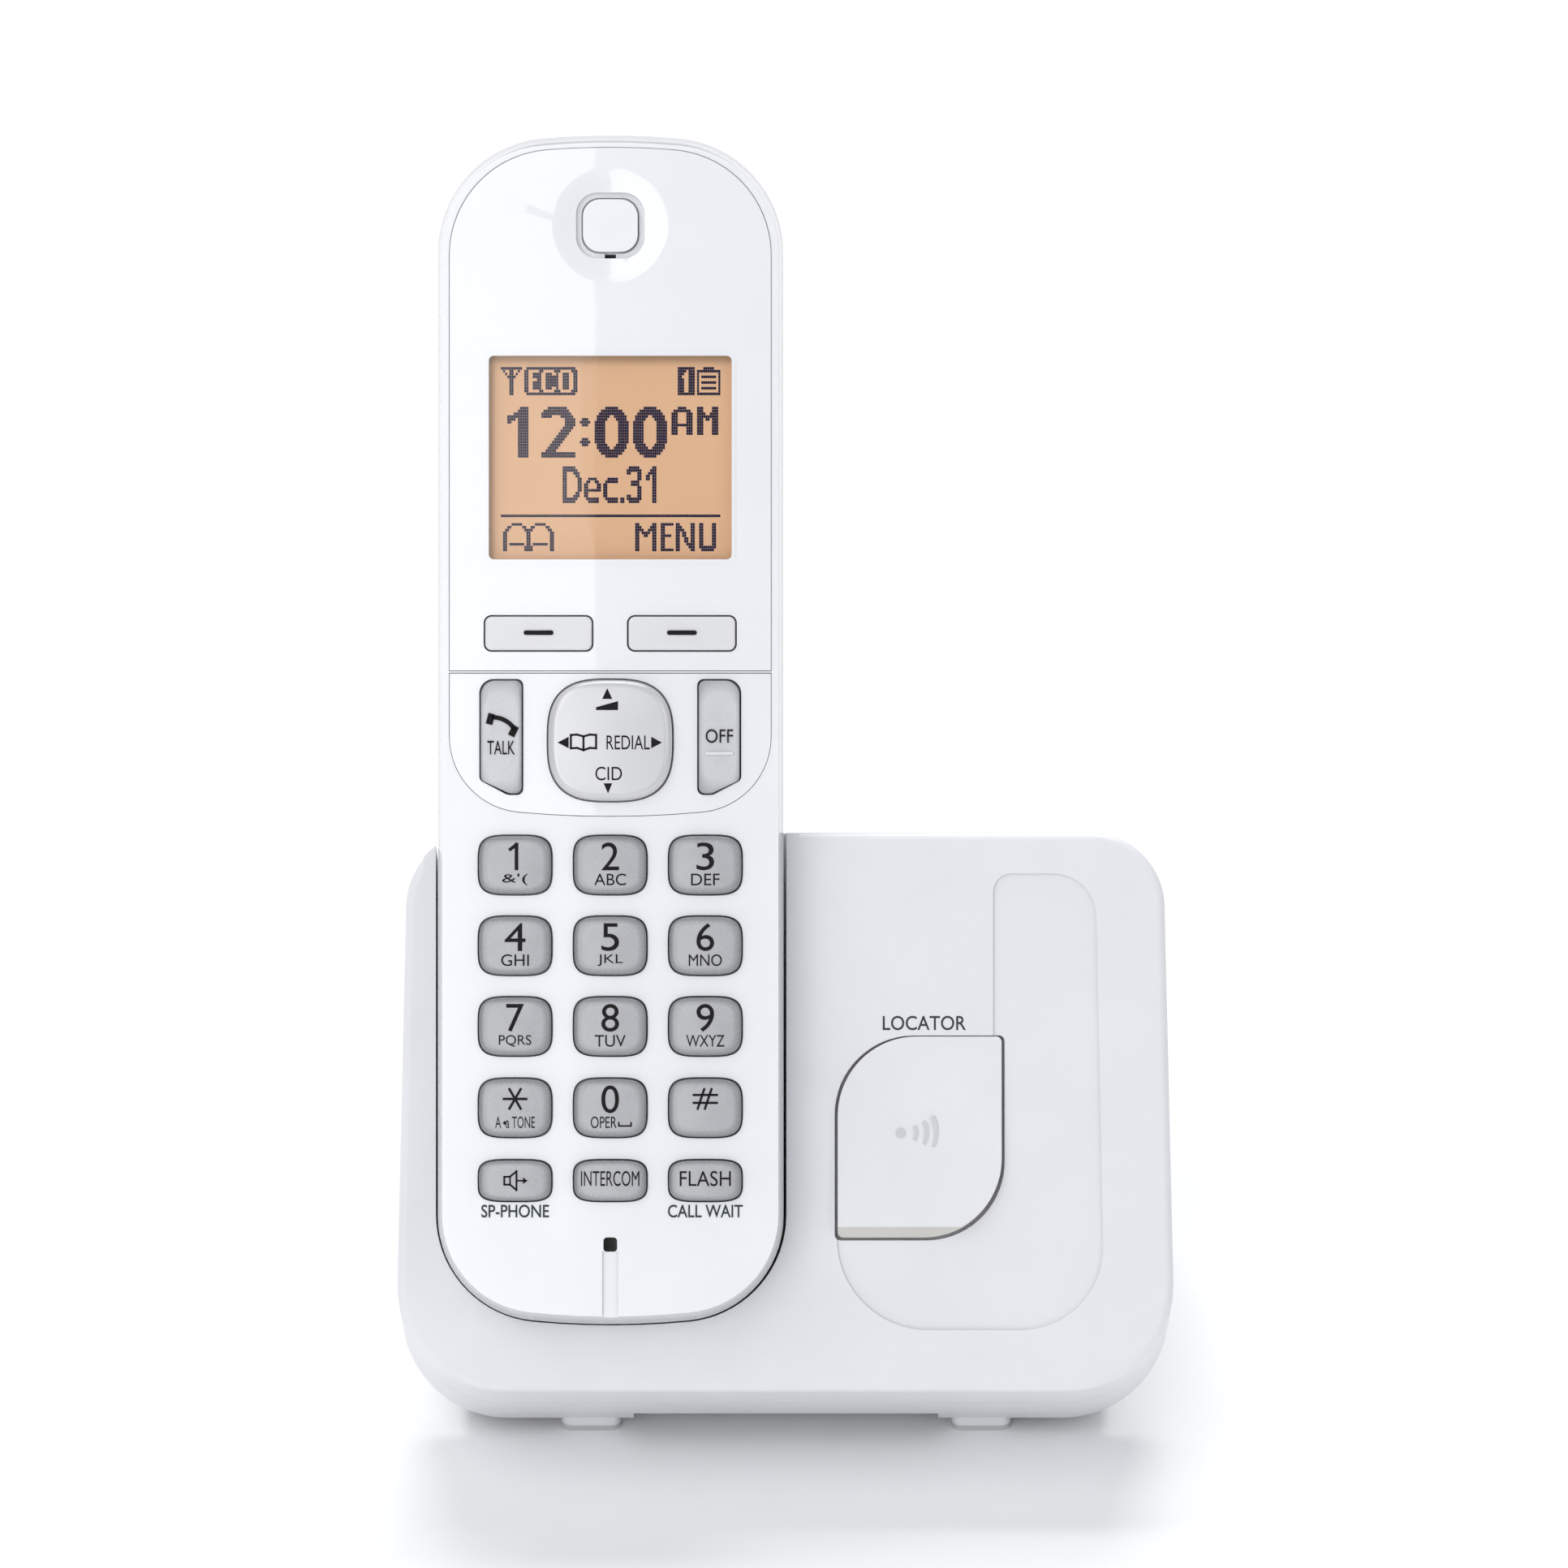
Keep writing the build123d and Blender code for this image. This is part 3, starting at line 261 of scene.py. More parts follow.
def key_plastic(name, middle, rim):
    """Key plastic with painted light: a painted glow makes the middle lighter and painted shade darkens the rim.
    """
    material, nodes, links, shader = new_material(name)
    place = nodes.new("ShaderNodeUVMap")
    place.uv_map = "face"
    centred = nodes.new("ShaderNodeMapping")
    centred.inputs["Location"].default_value = (-1.0, -1.0, 0.0)
    centred.inputs["Scale"].default_value = (2.0, 2.0, 1.0)
    power = nodes.new("ShaderNodeVectorMath")
    power.operation = "MULTIPLY"
    length = nodes.new("ShaderNodeVectorMath")
    length.operation = "LENGTH"
    links.new(place.outputs["UV"], centred.inputs["Vector"])
    links.new(centred.outputs["Vector"], power.inputs[0])
    links.new(centred.outputs["Vector"], power.inputs[1])
    links.new(power.outputs["Vector"], length.inputs[0])
    # painted glow in the middle and painted shade towards the rim, by distance from the key's centre
    edge = ramp(nodes, links, length.outputs["Value"], middle, rim, 0.55, 1.0)
    cloud = ramp(nodes, links, noise(nodes, links, 380.0), (0.93, 0.93, 0.93), (1.0, 1.0, 1.0))
    mix = nodes.new("ShaderNodeMix")
    mix.data_type = "RGBA"
    mix.blend_type = "MULTIPLY"
    mix.inputs["Factor"].default_value = 1.0
    links.new(edge, mix.inputs["A"])
    links.new(cloud, mix.inputs["B"])
    links.new(mix.outputs["Result"], shader.inputs["Base Color"])
    skin = noise(nodes, links, 3000.0)
    links.new(spread(nodes, links, skin, 0.22, 0.30), shader.inputs["Roughness"])
    bump(nodes, links, shader, skin, 0.1, 0.00001)
    shader.inputs["Coat Weight"].default_value = 0.4
    shader.inputs["Coat Roughness"].default_value = 0.08
    return material


def lit_display(name, colour):
    """Reflective display with a warm backlight, in shade under the window's upper and left edge."""
    material, nodes, links, shader = new_material(name)
    clouds = noise(nodes, links, 25.0, detail=0.0)
    tint = ramp(nodes, links, clouds, shade(colour, 0.96), shade(colour, 1.04))
    place = nodes.new("ShaderNodeTexCoord")
    panel = NODES["display_panel"].matrix_world
    for axis, edge, depth in ((UP, DISPLAY_V[1] * MM, 0.0016), (-RIGHT, DISPLAY_HALF * MM, 0.0011)):
        start = edge + (HAND.translation - panel.translation).dot(axis)
        tint = toned(nodes, links, tint, place.outputs["Object"], panel.to_3x3().transposed() @ axis,
                     start - depth, start, 0.5)
    links.new(tint, shader.inputs["Base Color"])
    skin = noise(nodes, links, 9000.0)
    links.new(spread(nodes, links, skin, 0.5, 0.6), shader.inputs["Roughness"])
    shader.inputs["Emission Color"].default_value = (*colour, 1.0)
    shader.inputs["Emission Strength"].default_value = 0.12
    return material


def clear_lens(name):
    """Clear display lens."""
    material, nodes, links, shader = new_material(name)
    shader.inputs["Base Color"].default_value = (1.0, 1.0, 1.0, 1.0)
    shader.inputs["Transmission Weight"].default_value = 1.0
    shader.inputs["IOR"].default_value = 1.3
    skin = noise(nodes, links, 400.0)
    links.new(spread(nodes, links, skin, 0.0, 0.02), shader.inputs["Roughness"])
    return material


MATERIALS = {}


def materials(colours):
    """All finishes by slot name, made once."""
    if MATERIALS:
        return MATERIALS
    def finish(name, *values, maker=moulded, **settings):
        MATERIALS[name] = maker(name, *values, **settings)

    finish("case_white", colours.handset_white, gloss=0.16, grain=900.0, depth=0.05, coat=0.5, vary=0.012,
           soft=0.15)
    finish("window_gloss", colours.handset_white, gloss=0.12, grain=500.0, depth=0.01, coat=1.0,
           vary=0.008, coat_gloss=0.008)
    finish("base_white", colours.base_white, gloss=0.42, grain=5200.0, depth=0.35, vary=0.015, soft=0.1)
    # painted shade on the sunk panel's steps
    finish("base_crease", shade(colours.base_white, 0.74), gloss=0.42, grain=5200.0, depth=0.3)
    # painted shade under the locator button's lip
    finish("base_under", (0.60, 0.585, 0.55), gloss=0.42, grain=5200.0, depth=0.3)
    # painted shadow on the walls round the locator button
    finish("base_gap", (0.10, 0.07, 0.055), gloss=0.6)
    # painted shade: a darker tone of the handset white for groove and frame-line walls
    finish("case_crease", shade(colours.handset_white, 0.62), gloss=0.2, depth=0.05)
    # the front case's white, with painted shade greying its edges and side walls
    finish("case_front", colours.handset_white, gloss=0.16, grain=900.0, depth=0.05, coat=0.5, vary=0.012,
           soft=0.15, rim=0.34)
    finish("case_shadow", (0.02, 0.02, 0.022), gloss=0.5)
    # keys with a painted glow in the middle and painted shade at the rim
    finish("key_grey", colours.key_grey, colours.key_rim_shade, maker=key_plastic)
    finish("key_pale", shade(colours.key_grey, 1.38), shade(colours.key_rim_shade, 1.7), maker=key_plastic)
    finish("key_soft", shade(colours.silver, 1.15), gloss=0.3, grain=3000.0, depth=0.08, coat=0.3)
    finish("key_silver", colours.silver, gloss=0.32, grain=7000.0, depth=0.1, metallic=0.25, coat=0.2)
    finish("key_chrome", (0.45, 0.45, 0.46), gloss=0.14, grain=1200.0, depth=0.03, metallic=1.0)
    finish("print_ink", colours.ink, gloss=0.6, shine=0.12)
    finish("label_ink", colours.label, gloss=0.6, shine=0.12)
    finish("display_amber", colours.amber, maker=lit_display)
    finish("display_dots", colours.dots, gloss=0.7, vary=0.1, shine=0.0)
    finish("lens", maker=clear_lens)
    # painted shade: a darker tone of the base white for the raised waves
    finish("emboss", shade(colours.base_white, 0.78), gloss=0.35, grain=5200.0, depth=0.2)
    finish("inner_plastic", (0.62, 0.62, 0.60), gloss=0.5)
    finish("dark_plastic", (0.03, 0.03, 0.032), gloss=0.45, depth=0.3)
    finish("board_green", (0.02, 0.16, 0.06), gloss=0.25, grain=1500.0, depth=0.2, vary=0.15, coat=0.3)
    finish("tin", (0.70, 0.70, 0.68), gloss=0.3, grain=1800.0, depth=0.1, metallic=1.0)
    finish("contact_metal", (0.80, 0.78, 0.72), gloss=0.16, metallic=1.0)
    finish("antenna_brass", (0.72, 0.52, 0.25), gloss=0.25, metallic=1.0)
    finish("membrane_rubber", (0.60, 0.60, 0.61), gloss=0.5, soft=0.3)
    finish("pad_rubber", (0.50, 0.50, 0.51), gloss=0.7, grain=3000.0, depth=0.5)
    finish("cell_jacket", (0.02, 0.05, 0.045), gloss=0.22, coat=0.5)
    finish("screw_steel", (0.55, 0.55, 0.57), gloss=0.3, metallic=1.0)
    return MATERIALS


# ---------------------------------------------------------------------------
# Making pieces
# ---------------------------------------------------------------------------
def add_piece(name, bm, body, slots, stands_for=(), smooth_angle=35.0, weighted=False):
    """Turns a bmesh in the row frame into a finished piece that rides on a body."""
    mesh = bpy.data.meshes.new(name)
    bm.to_mesh(mesh)
    bm.free()
    piece = bpy.data.objects.new(name, mesh)
    bpy.context.scene.collection.objects.link(piece)
    for slot_name in slots:
        mesh.materials.append(MATERIALS[slot_name])
    for polygon in mesh.polygons:
        polygon.use_smooth = True
    mesh.set_sharp_from_angle(angle=math.radians(smooth_angle))
    if weighted:
        modifier = piece.modifiers.new("even_normals", "WEIGHTED_NORMAL")
        modifier.keep_sharp = True
        modifier.weight = 60
    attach(piece, body)
    if stands_for:
        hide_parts(*stands_for)
    return piece


def merged_copy(node):
    """The CAD node's mesh, merged and with its flat faces whole again."""
    bm = bmesh.new()
    bm.from_mesh(NODES[node].data)
    bmesh.ops.remove_doubles(bm, verts=bm.verts, dist=0.000002)
    bmesh.ops.dissolve_limit(bm, angle_limit=math.radians(0.3), verts=bm.verts, edges=bm.edges)
    bm.normal_update()
    return bm


def round_edges(bm, width, keep=lambda edge: True, angle=28.0):
    """Rounds the crisp edges of a moulded part."""
    crisp = [edge for edge in bm.edges
             if edge.is_manifold and edge.calc_face_angle(0.0) > math.radians(angle) and keep(edge)]
    bmesh.ops.bevel(bm, geom=crisp, offset=width, offset_type="OFFSET", segments=3, profile=0.5,
                    affect="EDGES", clamp_overlap=True, material=-1)


def local(matrix):
    """From the row frame back to a face's millimetres."""
    return matrix.inverted()


def squircle(bm, x, v, width, height, level, power, points=80):
    """A flat square with bowed sides and round corners, on a sloping face's grid."""
    corners = []
    for step in range(points):
        turn = math.tau * step / points
        c, s = math.cos(turn), math.sin(turn)
        out = (abs(c) ** power + abs(s) ** power) ** (-1 / power)
        corners.append(bm.verts.new((x + width / 2 * out * c, v + height / 2 * out * s, level)))
    return bm.faces.new(corners)


def raise_face(bm, face, height):
    """Extrudes one face along the sloping face's normal, and returns the new top."""
    made = bmesh.ops.extrude_face_region(bm, geom=[face])
    lifted = [item for item in made["geom"] if isinstance(item, bmesh.types.BMVert)]
    bmesh.ops.translate(bm, vec=(0, 0, height), verts=lifted)
    return [item for item in made["geom"] if isinstance(item, bmesh.types.BMFace)][0]


def crowned_top(bm, face, width, height, crown, rim, rings=7):
    """Rounds a key's shoulder: rings step in along a quarter ellipse, then a flat top."""
    level = face.verts[0].co.z
    done = 0.0
    for ring in range(1, rings + 1):
        turn = math.pi / 2 * ring / rings
        inward = rim * (1 - math.cos(turn))
        bmesh.ops.inset_region(bm, faces=[face], thickness=inward - done, use_even_offset=True)
        done = inward
        for vertex in face.verts:
            vertex.co.z = level + crown * math.sin(turn)
    return face


def face_map(bm, x, v, width, height):
    """UV from 0 to 1 across a key, for the painted glow in its middle and the painted shade at its rim."""
    layer = bm.loops.layers.uv.new("face")
    for face in bm.faces:
        for loop in face.loops:
            loop[layer].uv = ((loop.vert.co.x - x) / width + 0.5, (loop.vert.co.y - v) / height + 0.5)


def text_mesh(text, weight=0.0):
    """Flat characters as a mesh, in the font's own units."""
    curve = bpy.data.curves.new("characters", "FONT")
    curve.body = text
    curve.offset = weight
    curve.resolution_u = 6
    holder = bpy.data.objects.new("characters", curve)
    bpy.context.scene.collection.objects.link(holder)
    bpy.context.view_layer.update()
    mesh = bpy.data.meshes.new_from_object(holder)
    bpy.data.objects.remove(holder)
    bpy.data.curves.remove(curve)
    return mesh


def add_text(bm, text, x, v, level, width, height, thickness, weight=0.0):
    """Printed characters, fitted to a width and height round a centre."""
    mesh = text_mesh(text, weight)
    xs = [vertex.co.x for vertex in mesh.vertices]
    ys = [vertex.co.y for vertex in mesh.vertices]
    wide = width / (max(xs) - min(xs))
    high = height / (max(ys) - min(ys))
    middle_x = (max(xs) + min(xs)) / 2
    middle_y = (max(ys) + min(ys)) / 2
    for vertex in mesh.vertices:
        vertex.co = ((vertex.co.x - middle_x) * wide + x, (vertex.co.y - middle_y) * high + v, level)
    before = set(bm.faces)
    bm.from_mesh(mesh)
    bpy.data.meshes.remove(mesh)
    thicken(bm, [face for face in bm.faces if face not in before], thickness)


def level_at(node, matrix, x, v):
    """Height of a CAD node's outer surface above a sloping face's grid."""
    tree = BVHTree.FromPolygons([vertex.co for vertex in NODES[node].data.vertices],
                                [polygon.vertices[:] for polygon in NODES[node].data.polygons])
    hit = tree.ray_cast(matrix @ Vector((x, v, 50.0)), -OUT)[0]
    return (matrix.inverted() @ hit).z


def thicken(bm, faces, thickness):
    """Gives flat printed faces a small, closed thickness."""
    made = bmesh.ops.extrude_face_region(bm, geom=faces, use_keep_orig=True)
    lifted = [item for item in made["geom"] if isinstance(item, bmesh.types.BMVert)]
    bmesh.ops.translate(bm, vec=(0, 0, thickness), verts=lifted)


def add_shape(bm, points, level, thickness):
    """A printed shape with a few corners."""
    face = bm.faces.new([bm.verts.new((x, v, level)) for x, v in points])
    thicken(bm, [face], thickness)


def add_bar(bm, x, v, width, height, level, thickness):
    """A flat bar round a centre."""
    add_shape(bm, [(x + across * width / 2, v + up * height / 2)
                   for across, up in ((-1, -1), (1, -1), (1, 1), (-1, 1))], level, thickness)


def add_stroke(bm, points, width, level, thickness):
    """A printed line of even width through a few points."""
    for (x0, v0), (x1, v1) in zip(points, points[1:]):
        along = Vector((x1 - x0, v1 - v0)).normalized()
        side = Vector((-along.y, along.x)) * width / 2
        tip = along * width / 2
        near = Vector((x0, v0)) - tip
        far = Vector((x1, v1)) + tip
        add_shape(bm, (near - side, far - side, far + side, near + side), level, thickness)


def add_arc(bm, x, v, radius, start, end, width, level, thickness, steps=14):
    """A printed arc, angles in degrees."""
    rows = []
    for step in range(steps + 1):
        angle = math.radians(start + (end - start) * step / steps)
        rows.append([bm.verts.new((x + out * math.cos(angle), v + out * math.sin(angle), level))
                     for out in (radius - width / 2, radius + width / 2)])
    faces = [bm.faces.new((here[0], here[1], after[1], after[0])) for here, after in zip(rows, rows[1:])]
    thicken(bm, faces, thickness)


# ---------------------------------------------------------------------------
# Handset
# ---------------------------------------------------------------------------
def is_wall(face, towards):
    """A face that stands across a sloping face, such as the wall of a hole."""
    return abs(face.normal.dot(towards)) < 0.5


class PHONE_OT_handset_cases(bpy.types.Operator):
    """Front and rear case of the handset, with rounded edges, painted shadow in the key wells, and painted shade
    in the microphone groove and on the front case's edges
    """
    bl_idname = "phone.handset_cases"
    bl_label = "Handset cases"

    def execute(self, context):
        sizes = context.scene.phone_sizes
        materials(context.scene.phone_colours)
        to_hand = local(HAND)

        bm = merged_copy("handset_front_case")
        for face in bm.faces:
            centre = to_hand @ face.calc_center_median()
            inside = abs(centre.x) < 21.6 and 14.0 < centre.y < 102.0
            # painted shadow: the walls of the key holes
            if inside and is_wall(face, OUT) and centre.z < -0.02:
                face.material_index = 1
            # painted shade: the walls of the microphone groove
            if abs(centre.x) < 1.3 and centre.y < 10.3 and -0.45 < centre.z and is_wall(face, OUT):
                face.material_index = 2

        def outside(edge):
            spot = to_hand @ ((edge.verts[0].co + edge.verts[1].co) / 2)
            return spot.z > -0.6
        round_edges(bm, sizes.edge * 0.5, outside)
        add_piece("front_case", bm, "handset", ["case_front", "case_shadow", "case_crease"],
                  ["handset_front_case"], weighted=True)

        for node, name, body, share in (("handset_rear_case", "rear_case", "handset", 0.5),
                                        ("battery_cover", "sliding_cover", "battery_cover", 0.6)):
            bm = merged_copy(node)
            round_edges(bm, sizes.edge * share, angle=50.0)
            add_piece(name, bm, body, ["case_white"], [node], weighted=True)
        return {"FINISHED"}


class PHONE_OT_window(bpy.types.Operator):
    """Window plate, function plate, display lens and the frame line round the display"""
    bl_idname = "phone.window"
    bl_label = "Window"

    def execute(self, context):
        sizes = context.scene.phone_sizes
        materials(context.scene.phone_colours)
        to_hand = local(HAND)

        def front(edge):
            return all((to_hand @ vertex.co).z > -0.7 for vertex in edge.verts)

        for node, name in (("window_plate", "window"), ("function_plate", "function_inlay")):
            bm = merged_copy(node)
            for face in bm.faces:
                centre = to_hand @ face.calc_center_median()
                in_keys = abs(centre.x) < 18.8 and centre.y < 99.0
                # painted shadow: the walls of the key holes
                if is_wall(face, OUT) and in_keys and centre.z < -0.1:
                    face.material_index = 1
            round_edges(bm, sizes.edge * 0.6, front, angle=40.0)
            add_piece(name, bm, "handset", ["window_gloss", "case_shadow"], [node],
                      weighted=True)

        add_piece("clear_lens", merged_copy("display_lens"), "handset", ["lens"], ["display_lens"])

        # raised frame line round the display, its walls in a darker tone as painted shade
        bm = bmesh.new()
        middle = sum(DISPLAY_V) / 2
        corner_x = DISPLAY_HALF - 0.6
        corner_v = (DISPLAY_V[1] - DISPLAY_V[0]) / 2 - 0.6
        level = level_at("window_plate", HAND, 0.0, DISPLAY_V[1] + 1.0) - 0.03
        spots = [(side * corner_x, middle + rise * corner_v, math.radians(turn))
                 for side, rise, start in ((1, 1, 0), (-1, 1, 90), (-1, -1, 180), (1, -1, 270))
                 for turn in range(start, start + 91, 15)]
        inner, outer = [[bm.verts.new((x + math.cos(turn) * radius, v + math.sin(turn) * radius, level))
                         for x, v, turn in spots] for radius in (0.7, 1.15)]
        for index in range(len(inner)):
            bm.faces.new((inner[index - 1], outer[index - 1], outer[index], inner[index]))
        thicken(bm, bm.faces[:], 0.09)
        bmesh.ops.recalc_face_normals(bm, faces=bm.faces)
        # painted shade: the frame line's walls
        for face in bm.faces:
            if face.normal.z < 0.5:
                face.material_index = 1
        bmesh.ops.transform(bm, matrix=HAND, verts=bm.verts)
        add_piece("display_frame_line", bm, "handset", ["window_gloss", "case_crease"])
        return {"FINISHED"}


GLYPHS = {
    "antenna": ("##########", ".#..##..#.", "..#.##.#..", "...####...", *("....##....",) * 6),
    "eco": (".#######################.", "##.....##.....###.....###", "##..####..###..#..###..##",
            "##..####..######..###..##", "##....##..######..###..##", "##..####..######..###..##",
            "##..####..######..###..##", "##..####..###..#..###..##", "##.....##.....###.....###",
            ".#######################."),
    "line_one": ("########", "####.###", "###..###", "##...###", "###..###", "###..###", "###..###",
                 "###..###", "###..###", "########"),
    "battery": ("...#####...", "###########", "#.........#", "#.#######.#", "#.........#", "#.#######.#",
                "#.........#", "#.#######.#", "#.........#", "###########"),
    "big_1": ("......####", ".....#####", "...#######", "##########", "####.#####", "##...#####",
              *(".....#####",) * 12),
    "big_2": ("...#########....", ".############...", "##############..", "#####....######.",
              "...........#####", "...........#####", "...........#####", "..........#####.",
              ".........#####..", "........#####...", ".......#####....", "......#####.....",
              ".....#####......", "....#####.......", "...#####........", "..#####.........",
              "################", "################"),
    "big_colon": (".....", ".....", ".....", ".....", ".###.", "#####", ".###.", ".....", ".....",
                  ".....", ".....", ".###.", "#####", ".###."),
    "big_0": (".....######.....", "...##########...", "..############..", ".######..######.",
              ".#####....#####.", *("#####......#####",) * 8, ".#####....#####.", ".######..######.",
              "..############..", "...##########...", ".....######....."),
    "a": ("...####...", ".########.", "###....###", "###....###", "###....###", "###....###",
          "##########", "###....###", "###....###", "###....###"),
    "m": ("###....###", "###....###", "####..####", "##########", "###.##.###", *("###....###",) * 5),
    "date_d": ("######...", "#######..", "##...###.", "##....##.", *("##.....##",) * 5, "##....##.",
               "##...###.", "#######..", "######..."),
    "date_e": ("..####..", ".##..##.", "##....##", "##....##", "########", "##......", "##......",
               ".######.", "..#####."),
    "date_c": ("..#####", ".######", *("##.....",) * 5, ".######", "..#####"),
    "date_dot": ("##", "##"),
    "date_3": (".#####.", "#######", "##...##", ".....##", ".....##", "..####.", "..####.", ".....##",
               ".....##", ".....##", "##...##", "#######", ".#####."),
    "date_1": ("...##", "..###", ".####", "##.##", "##.##", *("...##",) * 8),
    "menu_m": ("##......##", "###....###", "####..####", "##.####.##", "##..##..##", *("##......##",) * 5),
    "menu_e": ("######", "##....", "##....", "##....", "#####.", *("##....",) * 4, "######"),
    "menu_n": ("##.....##", "###....##", "####...##", "##.##..##", "##.##..##", "##..##.##", "##..##.##",
               "##...####", "##....###", "##.....##"),
    "menu_u": (*("##....##",) * 8, "########", ".######."),
    "book": ("....#####......#####....", "..##.....##..##.....##..", ".##.......####.......##.",
             *("##.........##.........##",) * 4, "##.#######.##.#######.##",
             "##........####........##", "##........####........##"),
    "line": ("#" * 103,),
}
# every glyph with its first column and first row on the display's grid
DISPLAY = (("antenna", 0, 0), ("eco", 11, 0), ("line_one", 83, 0), ("battery", 92, 0),
           ("big_1", 3, 14), ("big_2", 19, 14), ("big_colon", 37, 14), ("big_0", 44, 14),
           ("big_0", 62, 14), ("a", 80, 14), ("m", 92, 14),
           ("date_d", 29, 35), ("date_e", 39, 39), ("date_c", 48, 39), ("date_dot", 56, 46),
           ("date_3", 59, 35), ("date_1", 68, 35), ("line", 0, 52), ("book", 1, 55),
           ("menu_m", 63, 55), ("menu_e", 75, 55), ("menu_n", 82, 55), ("menu_u", 93, 55))
DISPLAY_CORNER = (-15.24, 133.11)     # outer corner of the first dot, top left


class PHONE_OT_display(bpy.types.Operator):
    """Lit display with its dot-matrix clock, date, icons and menu line"""
    bl_idname = "phone.display"
    bl_label = "Display"

    def execute(self, context):
        sizes = context.scene.phone_sizes
        materials(context.scene.phone_colours)
        NODES["display_panel"].data.materials.clear()
        NODES["display_panel"].data.materials.append(MATERIALS["display_amber"])
        wide, high = sizes.dot_width / MM, sizes.dot_height / MM
        level = reach("display_panel", OUT)[1] / MM - HAND.translation.dot(OUT) / MM + 0.02
        bm = bmesh.new()
        for glyph, first_column, first_row in DISPLAY:
            for down, line in enumerate(GLYPHS[glyph]):
                for across, mark in enumerate(line):
                    if mark == "#":
                        x = DISPLAY_CORNER[0] + (first_column + across) * wide
                        v = DISPLAY_CORNER[1] - (first_row + down) * high
                        corners = ((x, v - high * 0.94), (x + wide * 0.94, v - high * 0.94),
                                   (x + wide * 0.94, v), (x, v))
                        bm.faces.new([bm.verts.new((px, pv, level)) for px, pv in corners])
        bmesh.ops.transform(bm, matrix=HAND, verts=bm.verts)
        add_piece("display_dots", bm, "handset", ["display_dots"])
        return {"FINISHED"}


class PHONE_OT_keys(bpy.types.Operator):
    """Dialling, function, soft, talk, off and navigation keys"""
    bl_idname = "phone.keys"
    bl_label = "Keys"

    def cap(self, node, x, v, width, height, rise, crown, rim, power, slots, slot_name, edge_slot=0):
        """One key: a rounded-square cap with a crowned top and a flange behind the face."""
        bm = bmesh.new()
        back = -2.3
        face = squircle(bm, x, v, width, height, back, power)
        top = raise_face(bm, face, rise - crown - back)
        top = crowned_top(bm, top, width, height, crown, rim)
        for side in bm.faces:
            side.material_index = 0 if side.calc_center_median().z > rise - 0.7 * crown else edge_slot
        flange = squircle(bm, x, v, width + 1.4, height + 1.4, back - 0.8, power, points=40)
        raise_face(bm, flange, 0.8)
        bmesh.ops.recalc_face_normals(bm, faces=bm.faces)
        face_map(bm, x, v, width, height)
        bmesh.ops.transform(bm, matrix=HAND, verts=bm.verts)
        return add_piece(node + "_cap", bm, node, slots, [node], smooth_angle=50.0)

    def light_bar(self, bm):
        """Small raised light bar of the off key."""
        before = set(bm.faces)
        add_bar(bm, 15.15, 79.4, 3.8, 0.42, 0.75, 0.2)
        for face in bm.faces:
            if face not in before:
                face.material_index = 1

    def execute(self, context):
        sizes = context.scene.phone_sizes
        materials(context.scene.phone_colours)
        rise, crown = sizes.key_rise / MM, sizes.key_crown / MM
        for index, node in enumerate(DIGIT_KEYS):
            x, v = KEY_COLUMNS[index % 3], KEY_ROWS[index // 3]
            self.cap(node, x, v, *KEY_SIZE, rise, crown, 1.0, KEY_POWER, ["key_grey"], "key_grey")
        for x, node in zip(KEY_COLUMNS, FUNCTION_KEYS):
            self.cap(node, x, FUNCTION_ROW, *FUNCTION_SIZE, rise, crown, 0.8, KEY_POWER, ["key_grey"],
                     "key_grey")
        self.cap("key_navigation", 0.0, NAV_V, *NAV_SIZE, sizes.nav_rise / MM, 1.1, 1.2, NAV_POWER,
                 ["key_silver", "key_chrome"], "key_silver", 1)
        for node, x, v, width, height, slot_name in (
                ("key_talk", -15.15, 81.7, 6.1, 16.2, "key_pale"),
                ("key_off", 15.15, 81.7, 6.1, 16.2, "key_pale"),
                ("softkey_left", -SOFT_X, SOFT_V, 15.1, 5.0, "key_soft"),
                ("softkey_right", SOFT_X, SOFT_V, 15.1, 5.0, "key_soft")):
            bm = merged_copy(node)
            bmesh.ops.transform(bm, matrix=local(HAND), verts=bm.verts)
            face_map(bm, x, v, width, height)
            if node == "key_off":
                self.light_bar(bm)
            bmesh.ops.transform(bm, matrix=HAND, verts=bm.verts)
            bm.normal_update()
            add_piece(node + "_cap", bm, node, [slot_name, "key_soft"], [node], weighted=True)
        return {"FINISHED"}


KEY_LABELS = {
    "key_1": ("1", "&'("), "key_2": ("2", "ABC"), "key_3": ("3", "DEF"), "key_4": ("4", "GHI"),
    "key_5": ("5", "JKL"), "key_6": ("6", "MNO"), "key_7": ("7", "PQRS"), "key_8": ("8", "TUV"),
    "key_9": ("9", "WXYZ"), "key_star": ("", "A  a TONE"), "key_0": ("0", "OPER"), "key_hash": ("", ""),
}
DIGIT_WIDTH = {"4": 2.9}
LETTER_WIDTH = {"&'(": 3.6, "ABC": 4.4, "DEF": 3.95, "GHI": 3.85, "JKL": 3.5, "MNO": 4.6, "PQRS": 4.5,
                "TUV": 4.3, "WXYZ": 5.3, "A  a TONE": 5.5, "OPER": 3.6}


